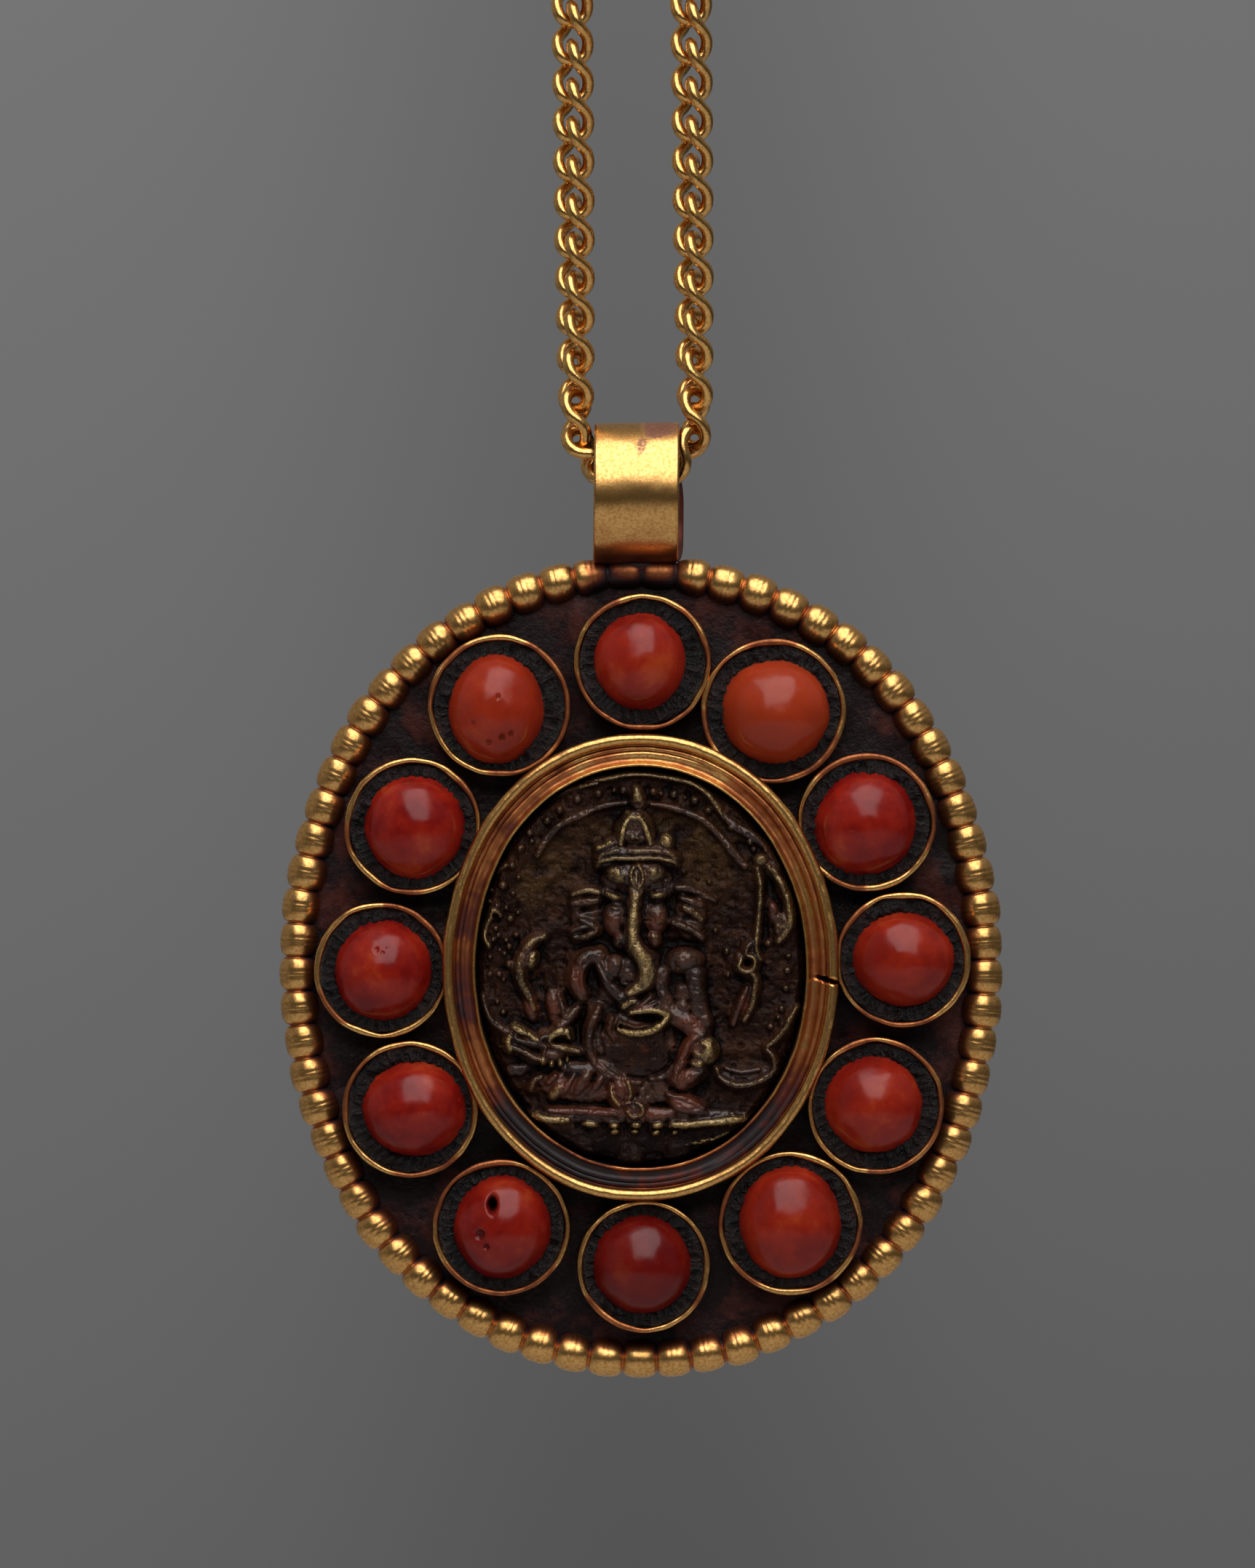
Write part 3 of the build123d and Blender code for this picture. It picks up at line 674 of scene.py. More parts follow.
def make_bail():
    """The strap that the chain runs through, with a stain on its front and painted shade at the foot
    of its front.
    """
    line, ways = bail_line(bail_bore + bail_strip, bail_front_radius, 42)
    outline = strip_outline()
    back = line[:, :1] - ways[:, :1] * outline[:, 1]
    up = line[:, 1:] - ways[:, 1:] * outline[:, 1]
    mesh = joined(outline[:, 0], back, up)
    dent = 0.035 * lumps(mesh, 2.2, 61)
    mesh[..., 1:] -= ways[:, None] * dent[..., None]
    below = bail_bore + bail_strip - mesh[..., 2]
    # the back leg stands a little to the right of the front one, and the strap leans
    mesh[..., 0] += 0.3 * ease(mesh[..., 1], -0.5, 2.0) * ease(below, 1.5, 4.5)
    mesh[..., 0] += 0.018 * (3.9 - below)
    front = ease(-mesh[..., 1], -0.6, 0.6)
    # painted shade and reflection: the front darkens towards its foot, where the strip curves under
    foot = ease(below, 5.75, 5.9) * 0.27 + ease(below, 6.7, 7.7) * 0.42
    patina = front * foot + (1 - front) * (0.25 + 0.45 * ease(below, 1.0, 3.0))
    inside = outline[:, 1] > bail_strip - 0.1
    patina = np.where(inside, 0.8, patina) + 0.10 * noise(mesh, 0.9, 63)
    blot = np.hypot((mesh[..., 0] - 1.25) / 1.15, (below - 0.35) / 0.75)
    drip = np.hypot((mesh[..., 0] - 0.30) / 0.42, (below - 1.45) / 0.65)
    edge = 0.35 * lumps(mesh, 0.9, 65)
    stain = np.maximum(ease(1.25 - blot + edge, 0, 0.7), 0.8 * ease(1.15 - drip + edge, 0, 0.6))
    make_piece(
        "bail", mesh.reshape(-1, 3) + [0, 0, swing_level], [grid_faces(len(line), len(outline))],
        bail_gilt, "gilt_setting", "setting",
        patina=patina, stain=stain * ease(-mesh[..., 1], -1.2, 0.4),
    )


def make_solder():
    """The solder that seats the bail on the beads, painted nearly black for the shade under the bail
    as well as patina.
    """
    rows, columns = 24, 36
    half_width, half_depth = 1.9, 0.75
    tilt = np.linspace(0, pi, rows)[:, None]
    turn = turns(columns)
    low = pendant_level + plate_half_height
    high = swing_level - bail_leg - bail_bore - bail_strip / 2
    across = half_width * np.sin(tilt) ** 0.5 * np.cos(turn)
    back = floor_back - bead_lift + half_depth * np.sin(tilt) ** 0.5 * np.sin(turn)
    mesh = joined(across, back, (low + high) / 2 + (high - low) / 2 * np.cos(tilt))
    mesh += 0.03 * noise(mesh, 0.6, 71)[..., None]
    # painted nearly black: shade under the bail, with patina
    make_piece(
        "bail_solder", mesh.reshape(-1, 3), [grid_faces(rows, columns, close_rows=False)],
        gilt, "gilt_setting", "setting", patina=np.full(rows * columns, 0.95),
    )


# Corals and their cement

# Pits of a coral: where they are across and up, how wide and high, and how deep, all as shares
# of its radius
PITS = {
    10: [(-0.10, 0.42, 0.045, 0.045, 0.04), (0.02, 0.36, 0.035, 0.035, 0.03),
         (0.12, 0.45, 0.03, 0.03, 0.03)],
    8: [(-0.18, 0.44, 0.085, 0.085, 0.30), (-0.42, -0.10, 0.10, 0.10, 0.10),
        (-0.30, -0.32, 0.06, 0.06, 0.08), (-0.18, 0.44, 0.085, 0.16, 0.20)],
    12: [(0.12, -0.52, 0.06, 0.06, 0.08), (0.30, -0.46, 0.05, 0.05, 0.07),
         (-0.15, -0.60, 0.05, 0.05, 0.06), (0.05, 0.20, 0.04, 0.04, 0.04),
         (-0.45, -0.25, 0.04, 0.04, 0.05)],
}

# How much more orange than the rest a coral is; below nought, how much painted shade darkens it, as
# the light falls off towards the bottom
TONES_AND_SHADE = {1: 0.1, 2: 0.75, 4: 0.15, 5: 0.1, 6: 0.15, 7: -0.7, 8: -0.2, 12: 0.4}


def make_coral(number, cup):
    """A cabochon, a little lumpy, that goes on below the cement."""
    rows, columns = 64, 96
    radius = coral_size(cup)
    tilt = np.linspace(0, radians(112), rows)[:, None]
    turn = turns(columns)
    way = joined(np.sin(tilt) * np.cos(turn), np.sin(tilt) * np.sin(turn), np.cos(tilt))
    own = way + number * 3.7
    size = radius * (1 + 0.035 * noise(own, 0.8, 81) + 0.012 * noise(own, 0.3, 83))
    across = way[..., 0] * size * cup.wide
    along = way[..., 1] * size * cup.high
    up = way[..., 2] * size * 0.97
    pit = np.zeros(size.shape)
    for x, y, wide, high, deep in PITS.get(number, []):
        near = np.hypot((way[..., 0] - x) / wide, (way[..., 1] - y) / high)
        hole = np.exp(-(near**4))
        up -= deep * radius * hole
        pit = np.maximum(pit, hole * min(1.0, deep * 5))
    x, y = coral_centre(cup)
    mesh = joined(x + across, y + along, coral_middle + up)
    points = np.concatenate([mesh.reshape(-1, 3), [[x, y, mesh[-1, :, 2].mean()]]])
    last_ring = (rows - 1) * columns + np.arange(columns)
    make_piece(
        f"coral_bead_{number:02d}", hung(points),
        [grid_faces(rows, columns, close_rows=False), fan(last_ring, rows * columns)],
        coral_look, "coral", f"coral_{number:02d}",
        pit=np.append(pit, 0), tone=np.full(len(points), TONES_AND_SHADE.get(number, 0.0)),
    )


def make_cement(number, cup):
    """The lumpy ring between a coral and its rim, ribbed by the tool that pressed it in."""
    rows, columns, rib_count = 26, 120, 38
    floor_level = 0.06
    turn = turns(columns)
    way = np.stack([np.cos(turn), np.sin(turn)], -1)
    outer = cup_centre(cup) + way * (cup_bore(cup) + 0.05)
    inner = coral_centre(cup) + way * coral_size(cup) * 0.80
    share = np.linspace(0, 1, rows)[:, None, None]
    flat = outer[None] * (1 - share) + inner[None] * share
    circle = joined(flat[..., 0], flat[..., 1], 0.0)
    spread = share[..., 0]
    level = cement_level - 0.10 - 0.16 * ease(spread, 0.55, 1.0)
    level = level + 0.13 * lumps(circle, 0.9, 91) + 0.12 * noise(circle, 0.42, 95)
    ribs = np.sin(turn * rib_count + 4 * noise(circle, 1.2, 93)) * 0.16
    level = level + ribs * ease(spread, 0.05, 0.3) * ease(0.95 - spread, 0.0, 0.3)
    top = joined(flat[..., 0], flat[..., 1], level)
    bottom = top[[-1, 0]] * [1, 1, 0] + [0, 0, floor_level]
    make_piece(
        f"cement_ring_{number:02d}", hung(np.concatenate([top, bottom])),
        [grid_faces(rows + 2, columns)], cement_look, "dark_cement", f"cement_{number:02d}",
    )


# The cast relief

# The relief is charted across and down on a chart with its middle at the medallion's,
# and so many chart units to a millimetre. Sizes across are in chart units, heights above the
# field in millimetres. The last number is how far the form is rubbed down to the brass.
CHART_MIDDLE = (472.5, 575)
CHART_SCALE = 52.5
FLANK = 2.2
SOFT = 0.06

# Round forms: middle, half sizes, turn in degrees, height, and how flat the top is
BODY = [
    (462, 330, 108, 98, 0, 0.80, 3.0, 0.1), (460, 690, 165, 175, 0, 0.50, 3.0, 0.0),
    (318, 418, 50, 76, 0, 0.42, 3.5, 0.1), (618, 420, 46, 84, 0, 0.42, 3.5, 0.1),
    (300, 915, 128, 54, 5, 0.85, 2.6, 0.1), (455, 792, 134, 108, 0, 1.20, 2.4, 0.0),
    (500, 930, 130, 44, 0, 0.62, 2.6, 0.0), (450, 1002, 340, 26, 0, 0.80, 4.0, 0.1),
    (450, 1062, 292, 52, 0, 0.46, 3.0, 0.0), (770, 865, 90, 62, 0, 0.25, 3.0, 0.0),
]
MOUNDS = [
    # head
    (462, 305, 92, 46, 0, 1.22, 2.6, 0.25), (413, 306, 46, 36, 14, 1.34, 2.2, 0.35),
    (508, 303, 44, 36, -14, 1.34, 2.2, 0.30), (396, 368, 36, 17, 20, 1.20, 2.0, 0.45),
    (521, 366, 35, 16, -6, 1.20, 2.0, 0.35), (402, 430, 40, 60, 4, 1.08, 2.3, 0.15),
    (412, 496, 24, 28, 0, 1.00, 2.2, 0.15), (514, 428, 42, 58, -4, 1.10, 2.3, 0.20),
    (510, 492, 27, 30, 0, 1.08, 2.2, 0.25), (428, 612, 22, 18, 0, 1.20, 2.0, 0.1),
    # crown
    (458, 128, 22, 9, 0, 0.95, 2.4, 0.1), (548, 213, 28, 30, 0, 1.10, 2.2, 0.6),
    # chest and shoulders
    (440, 582, 44, 54, 0, 1.02, 2.2, 0.0), (396, 572, 36, 44, 30, 1.16, 2.2, 0.0),
    (598, 556, 62, 42, -5, 1.26, 2.3, 0.0),
    # folded leg
    (300, 868, 72, 30, 8, 0.98, 2.3, 0.0), (302, 902, 25, 58, 33, 1.28, 2.2, 0.0),
    (262, 908, 19, 52, 35, 1.16, 2.2, 0.1), (228, 925, 24, 42, 38, 1.06, 2.2, 0.45),
    (345, 908, 20, 46, 32, 1.14, 2.2, 0.1), (408, 928, 32, 40, -20, 1.26, 2.3, 0.1),
    (448, 985, 28, 20, 10, 1.10, 2.4, 0.1),
    # standing leg
    (655, 816, 46, 48, -10, 1.50, 2.3, 0.8), (634, 852, 30, 22, -10, 1.36, 2.2, 0.7),
    # left hand, what it holds and the form below it
    (158, 548, 24, 36, 22, 1.00, 2.0, 0.6), (183, 795, 20, 17, 0, 1.10, 2.2, 0.3),
    (214, 824, 42, 22, 10, 1.04, 2.3, 0.3), (188, 841, 16, 19, 0, 1.20, 2.2, 0.95),
    (212, 851, 11, 15, 0, 1.18, 2.2, 0.8), (237, 848, 12, 17, 0, 1.16, 2.2, 0.8),
    (257, 840, 9, 14, 0, 1.04, 2.2, 0.5), (110, 868, 42, 22, -6, 0.46, 2.3, 0.0),
    (152, 690, 20, 46, -14, 0.62, 2.2, 0.0), (218, 680, 24, 56, -8, 0.66, 2.2, 0.0),
    # axe
    (822, 268, 24, 22, 0, 0.84, 2.4, 0.4), (886, 455, 28, 42, 16, 0.66, 2.3, 0.55),
    (858, 420, 20, 36, -10, 0.50, 2.2, 0.2),
    # blocks of the seat's edge
    (322, 1026, 32, 13, 6, 1.08, 3.0, 0.8), (391, 1030, 20, 13, 0, 1.12, 3.0, 0.7),
    (393, 1049, 18, 11, 0, 0.98, 3.0, 0.7), (454, 1030, 21, 13, 0, 1.14, 3.0, 0.6),
    (450, 1049, 16, 10, 0, 1.00, 3.0, 0.6), (518, 1031, 24, 13, -4, 1.14, 3.0, 0.7),
    (512, 1052, 18, 10, -20, 1.00, 3.0, 0.7), (566, 1052, 14, 10, -20, 0.90, 3.0, 0.6),
    # petals under the seat
    (215, 1048, 52, 26, 30, 0.50, 2.6, 0.0), (300, 1104, 44, 52, 14, 0.62, 2.8, 0.0),
    (436, 1122, 46, 50, 0, 0.66, 2.8, 0.0), (574, 1112, 46, 50, -12, 0.62, 2.8, 0.0),
    (680, 1062, 58, 30, -24, 0.50, 2.6, 0.0),
]

# Rounded limbs: how far rubbed, then points with half width and height
LIMBS = [
    # face and trunk
    (0.3, [(462, 345, 24, 1.34), (457, 372, 15, 1.40), (454, 405, 14, 1.46)]),
    (0.85, [(454, 400, 13, 1.44), (452, 440, 16, 1.52), (450, 475, 18, 1.58), (454, 505, 19, 1.62),
            (470, 535, 21, 1.66), (486, 565, 24, 1.68), (491, 592, 24, 1.68), (480, 618, 21, 1.62),
            (458, 636, 15, 1.52), (438, 648, 8, 1.42)]),
    (0.1, [(462, 500, 5, 1.50), (480, 524, 6, 1.52), (502, 548, 6, 1.48)]),
    (0.2, [(455, 284, 4, 1.40), (447, 304, 4, 1.43), (450, 326, 4, 1.42), (462, 346, 4, 1.40)]),
    (0.2, [(468, 280, 4, 1.40), (480, 302, 4, 1.43), (478, 326, 4, 1.42), (465, 346, 4, 1.40)]),
    (0.4, [(462, 302, 3, 1.40), (461, 332, 3, 1.42)]),
    # ears
    (0.3, [(278, 362, 6, 0.66), (300, 354, 8, 0.76), (328, 350, 9, 0.82), (352, 356, 7, 0.86)]),
    (0.1, [(280, 388, 8, 0.70), (312, 384, 12, 0.84), (346, 380, 8, 0.86)]),
    (0.1, [(298, 436, 6, 0.70), (322, 444, 9, 0.84), (346, 462, 8, 0.88)]),
    (0.2, [(276, 468, 6, 0.68), (300, 458, 7, 0.76), (322, 455, 5, 0.74)]),
    (0.3, [(284, 486, 7, 0.70), (312, 485, 10, 0.80), (345, 466, 8, 0.86)]),
    (0.1, [(580, 345, 6, 0.86), (612, 348, 9, 0.80), (650, 366, 8, 0.66), (690, 384, 5, 0.40)]),
    (0.1, [(596, 376, 7, 0.84), (622, 386, 10, 0.86), (646, 396, 9, 0.72)]),
    (0.3, [(600, 404, 8, 0.84), (622, 414, 12, 0.86), (646, 436, 10, 0.72)]),
    (0.1, [(568, 446, 7, 0.80), (610, 464, 10, 0.80), (650, 490, 8, 0.66)]),
    # crown
    (0.4, [(464, 60, 8, 0.76), (467, 76, 13, 0.86), (470, 98, 17, 0.84)]),
    (0.35, [(457, 148, 15, 1.02), (457, 172, 26, 1.10), (458, 200, 34, 1.14)]),
    (0.9, [(446, 138, 6, 1.08), (432, 160, 8, 1.18), (423, 186, 8, 1.22), (418, 216, 7, 1.20)]),
    (0.9, [(472, 138, 6, 1.08), (484, 160, 8, 1.18), (495, 186, 8, 1.22), (503, 216, 7, 1.20)]),
    (0.9, [(446, 140, 6, 1.14), (472, 141, 6, 1.14)]),
    (0.6, [(352, 228, 5, 0.82), (374, 223, 7, 0.92), (386, 214, 7, 0.96)]),
    (0.1, [(376, 240, 6, 0.90), (398, 214, 6, 0.98)]),
    (0.25, [(356, 258, 7, 0.92), (372, 246, 9, 1.04), (410, 238, 10, 1.22), (460, 240, 10, 1.30),
            (515, 240, 10, 1.24), (556, 246, 9, 1.08), (576, 262, 6, 0.90)]),
    (0.6, [(356, 270, 6, 0.94), (400, 258, 7, 1.14), (460, 259, 8, 1.24), (520, 258, 7, 1.16),
            (572, 272, 6, 0.92)]),
    # arms and chest
    (0.05, [(352, 538, 20, 1.04), (316, 546, 22, 1.10), (292, 578, 20, 1.12),
            (286, 618, 20, 1.06), (302, 654, 18, 0.94)]),
    (0.0, [(352, 556, 14, 1.04), (366, 592, 16, 1.10), (386, 630, 18, 1.12), (412, 662, 14, 1.06)]),
    (0.05, [(628, 596, 28, 1.04), (630, 645, 27, 0.98), (640, 695, 26, 0.92),
            (656, 735, 20, 0.84)]),
    (0.0, [(536, 590, 20, 1.04), (532, 640, 18, 1.02), (552, 690, 20, 1.04)]),
    (0.0, [(590, 640, 20, 0.84), (590, 700, 22, 0.90)]),
    # hand over the bowl, and the bowl
    (0.8, [(424, 686, 11, 1.24), (440, 676, 11, 1.32), (456, 672, 7, 1.28)]),
    (0.1, [(450, 696, 5, 1.34), (474, 682, 6, 1.40), (498, 662, 6, 1.34)]),
    (0.2, [(458, 700, 5, 1.40), (486, 690, 6, 1.44), (512, 682, 5, 1.38)]),
    (0.7, [(444, 704, 6, 1.44), (484, 699, 7, 1.52), (520, 700, 8, 1.54), (545, 712, 8, 1.48)]),
    (0.95, [(408, 752, 7, 1.36), (424, 759, 9, 1.44), (460, 765, 10, 1.52), (500, 758, 10, 1.54),
            (530, 738, 10, 1.54), (548, 714, 9, 1.48)]),
    (0.1, [(428, 738, 4, 1.34), (458, 748, 5, 1.38), (492, 742, 4, 1.36)]),
    (0.2, [(404, 742, 4, 1.36), (412, 732, 4, 1.38), (423, 740, 4, 1.38)]),
    # folds beside the belly
    (0.0, [(350, 692, 9, 1.00), (328, 740, 10, 1.04), (320, 800, 10, 1.04), (338, 850, 10, 1.04),
            (378, 888, 9, 1.0)]),
    (0.05, [(388, 722, 7, 1.24), (380, 755, 8, 1.28), (394, 784, 6, 1.24)]),
    (0.0, [(360, 868, 7, 0.98), (418, 900, 8, 1.02), (466, 908, 7, 0.96)]),
    (0.0, [(500, 896, 7, 0.92), (540, 888, 8, 0.96), (560, 862, 7, 0.92)]),
    # right thigh, shin and foot
    (0.15, [(566, 716, 26, 1.06), (600, 735, 28, 1.14), (640, 768, 24, 1.20)]),
    (0.0, [(648, 770, 7, 1.34), (612, 792, 8, 1.30), (594, 828, 9, 1.24), (574, 864, 9, 1.18),
            (562, 900, 8, 1.10)]),
    (0.1, [(636, 872, 16, 1.22), (608, 892, 22, 1.20), (584, 912, 19, 1.12)]),
    (0.1, [(590, 850, 7, 1.26), (572, 880, 6, 1.24), (568, 906, 5, 1.16)]),
    (0.1, [(562, 958, 12, 1.04), (580, 976, 18, 1.14), (614, 986, 17, 1.10),
            (642, 994, 11, 0.98), (660, 1000, 6, 0.84)]),
    (0.0, [(548, 942, 6, 1.02), (596, 956, 7, 1.08), (648, 984, 6, 0.98)]),
    # folded leg: folds, foot and toe
    (0.2, [(152, 926, 6, 0.72), (162, 900, 7, 0.80), (182, 888, 6, 0.80)]),
    (0.1, [(204, 904, 7, 0.98), (222, 886, 7, 1.02)]),
    (0.0, [(352, 852, 14, 0.98), (392, 880, 15, 1.04), (428, 902, 13, 1.00)]),
    (0.45, [(384, 920, 5, 1.24), (388, 948, 5, 1.26), (406, 970, 5, 1.22)]),
    (0.45, [(432, 905, 5, 1.26), (440, 935, 5, 1.26), (434, 955, 5, 1.24)]),
    (0.35, [(426, 968, 4, 1.16), (450, 962, 4, 1.20), (472, 978, 5, 1.20), (470, 998, 5, 1.16),
            (446, 1006, 5, 1.14),
            (430, 990, 4, 1.14)]),
    # seat
    (0.0, [(205, 986, 7, 0.94), (260, 988, 9, 1.0), (330, 992, 9, 1.0), (395, 998, 7, 0.96)]),
    (0.8, [(116, 1000, 5, 0.88), (160, 1006, 8, 1.02), (212, 1012, 10, 1.08),
            (256, 1012, 7, 1.04)]),
    (0.8, [(552, 1030, 7, 1.08), (600, 1030, 9, 1.12), (650, 1026, 9, 1.10),
            (700, 1022, 10, 1.08), (742, 1018, 10, 1.02),
           (784, 1022, 6, 0.90)]),
    (0.0, [(120, 1010, 6, 0.70), (180, 1050, 7, 0.56), (262, 1090, 7, 0.50)]),
    (0.4, [(600, 1088, 5, 0.56), (700, 1066, 5, 0.60), (760, 1034, 5, 0.66)]),
    # raised left hand and arm
    (0.3, [(194, 482, 7, 0.80), (168, 492, 11, 0.90), (146, 514, 14, 0.96), (130, 546, 16, 0.96),
            (122, 584, 14, 0.90),
           (128, 618, 11, 0.82), (146, 652, 10, 0.76), (160, 692, 10, 0.72)]),
    (0.1, [(288, 690, 10, 0.78), (264, 718, 13, 0.90), (238, 744, 15, 0.98)]),
    (0.0, [(232, 650, 6, 0.70), (246, 690, 7, 0.76), (250, 724, 7, 0.84)]),
    # what the left hand holds
    (0.9, [(106, 746, 7, 0.98), (124, 756, 8, 1.00), (150, 770, 6, 1.02), (176, 786, 6, 1.06)]),
    (0.1, [(96, 764, 6, 0.96), (112, 778, 6, 0.96), (140, 788, 6, 0.98), (166, 794, 6, 1.04)]),
    (0.9, [(92, 770, 7, 0.94), (86, 786, 9, 0.96), (92, 806, 7, 0.94)]),
    (0.2, [(98, 802, 6, 0.94), (130, 814, 8, 0.98), (160, 832, 7, 1.00), (176, 836, 6, 1.04)]),
    (0.95, [(206, 784, 6, 1.02), (216, 768, 9, 1.08), (236, 758, 11, 1.12), (258, 760, 9, 1.08),
            (264, 776, 5, 1.0)]),
    (0.1, [(176, 792, 5, 1.14), (184, 776, 5, 1.14), (200, 772, 5, 1.10)]),
    (0.4, [(214, 800, 7, 1.08), (250, 806, 8, 1.12), (288, 816, 7, 1.02)]),
    (0.1, [(196, 800, 4, 1.14), (190, 826, 4, 1.14)]),
    # ridges at the left edge
    (0.1, [(10, 652, 6, 0.52), (16, 688, 7, 0.58), (34, 720, 8, 0.62), (60, 742, 8, 0.66),
            (86, 760, 7, 0.70)]),
    (0.3, [(44, 306, 4, 0.50), (56, 292, 4, 0.54), (82, 276, 4, 0.54)]),
    (0.5, [(42, 425, 5, 0.56), (22, 452, 5, 0.54), (20, 484, 5, 0.54), (34, 508, 5, 0.52)]),
    (0.4, [(40, 418, 4, 0.60), (48, 406, 5, 0.64), (62, 412, 4, 0.60)]),
    # halo and border
    (0.1, [(176, 246, 9, 0.40), (202, 204, 10, 0.46), (238, 164, 10, 0.48), (290, 138, 9, 0.48),
            (342, 114, 9, 0.48),
           (392, 102, 8, 0.46), (432, 98, 6, 0.40)]),
    (0.1, [(508, 102, 6, 0.40), (560, 112, 8, 0.46), (620, 132, 9, 0.48), (664, 156, 10, 0.48),
            (704, 196, 10, 0.48),
           (740, 242, 12, 0.50), (776, 284, 11, 0.46)]),
    (0.3, [(72, 246, 4, 0.44), (92, 208, 5, 0.48), (122, 168, 5, 0.46)]),
    (0.3, [(150, 122, 4, 0.46), (200, 86, 5, 0.50), (250, 62, 5, 0.50), (304, 46, 5, 0.50),
            (350, 42, 4, 0.44)]),
    (0.4, [(318, 30, 4, 0.50), (372, 27, 6, 0.54), (430, 16, 6, 0.54), (490, 15, 5, 0.52),
            (560, 26, 6, 0.54),
           (622, 40, 6, 0.54), (662, 66, 7, 0.56), (690, 100, 7, 0.56), (712, 132, 6, 0.50)]),
    (0.1, [(712, 132, 9, 0.46), (748, 168, 12, 0.48), (796, 196, 14, 0.48), (846, 232, 15, 0.48),
            (880, 290, 12, 0.44),
           (905, 340, 10, 0.40)]),
    # axe
    (0.35, [(812, 292, 6, 0.70), (820, 340, 6, 0.66), (818, 400, 6, 0.64), (812, 460, 6, 0.64),
            (806, 520, 6, 0.66),
            (818, 556, 5, 0.60)]),
    (0.45, [(846, 288, 6, 0.78), (870, 316, 9, 0.82), (892, 352, 12, 0.84), (904, 395, 12, 0.84),
            (906, 440, 11, 0.80),
            (892, 476, 11, 0.74), (872, 502, 8, 0.64)]),
    (0.2, [(776, 540, 5, 0.80), (780, 520, 5, 0.84), (792, 508, 5, 0.78)]),
    (0.4, [(762, 552, 5, 0.84), (757, 576, 5, 0.86), (770, 588, 5, 0.88), (790, 588, 6, 0.90),
            (802, 572, 5, 0.90),
           (800, 552, 5, 0.86), (782, 544, 4, 0.82)]),
    (0.3, [(792, 594, 7, 0.78), (806, 614, 9, 0.80), (800, 650, 8, 0.76), (792, 690, 8, 0.70),
            (770, 730, 7, 0.60)]),
    (0.0, [(780, 636, 6, 0.70), (762, 676, 8, 0.68), (744, 720, 8, 0.60), (738, 742, 6, 0.52)]),
    # bowl and scarf at the lower right
    (0.2, [(688, 868, 5, 0.60), (702, 898, 6, 0.70), (740, 918, 8, 0.76), (786, 916, 8, 0.76),
            (830, 898, 8, 0.76),
           (856, 872, 7, 0.78), (852, 838, 6, 0.76), (836, 818, 6, 0.74)]),
    (0.3, [(836, 808, 5, 0.74), (862, 786, 6, 0.76), (888, 756, 6, 0.76), (904, 722, 6, 0.74),
            (926, 696, 6, 0.64)]),
    (0.0, [(716, 868, 6, 0.46), (760, 880, 7, 0.50), (810, 872, 7, 0.50)]),
]

# Creases and welts, laid on the forms: half width, rise, then points
LINES = [
    (5, -0.14, [(366, 372), (392, 390), (428, 396)]),
    (5, -0.14, [(486, 380), (520, 386), (556, 378)]),
    (6, -0.12, [(366, 338), (398, 352), (434, 366)]),
    (6, -0.12, [(552, 336), (520, 350), (484, 366)]),
    (4, -0.14, [(430, 400), (432, 440), (430, 500)]),
    (4, -0.14, [(474, 400), (474, 450), (482, 500)]),
    (4, -0.16, [(356, 274), (400, 269), (460, 270), (520, 268), (570, 278)]),
    (3, -0.10, [(370, 252), (410, 249), (460, 250), (515, 249), (560, 254)]),
    (6, -0.16, [(352, 560), (368, 590), (398, 618)]),
    (4, -0.10, [(312, 556), (298, 590), (300, 630)]),
    (4, 0.05, [(338, 548), (318, 560), (306, 580)]),
    (6, -0.16, [(366, 712), (352, 762), (362, 826)]),
    (5, -0.12, [(352, 846), (400, 884), (460, 894), (520, 882), (560, 850)]),
    (5, -0.12, [(664, 520), (662, 600), (670, 680), (690, 740)]),
    (4, -0.10, [(418, 958), (440, 956)]),
    (5, -0.20, [(268, 920), (288, 880)]),
    (5, -0.20, [(312, 944), (338, 876)]),
    (5, -0.16, [(236, 905), (252, 880)]),
    (6, -0.20, [(362, 1012), (364, 1060)]),
    (5, -0.20, [(424, 1014), (424, 1062)]),
    (5, -0.20, [(485, 1014), (484, 1062)]),
    (5, -0.20, [(546, 1014), (540, 1062)]),
    (5, -0.12, [(206, 1040), (262, 1060)]),
    (3, 0.05, [(580, 612), (600, 604), (640, 614)]),
    (3, 0.05, [(575, 640), (610, 632), (645, 642)]),
    (3, 0.05, [(600, 700), (630, 690), (650, 694)]),
    (3, 0.06, [(520, 610), (540, 640), (530, 680)]),
    (3, 0.05, [(340, 870), (380, 892)]),
    (3, 0.05, [(352, 862), (392, 884)]),
    (3, 0.05, [(366, 858), (404, 880)]),
    (3, 0.06, [(268, 1060), (262, 1100), (282, 1144)]),
    (3, 0.06, [(270, 1058), (310, 1052), (342, 1080)]),
    (3, 0.05, [(394, 1110), (400, 1080), (436, 1072), (474, 1082), (480, 1112)]),
]

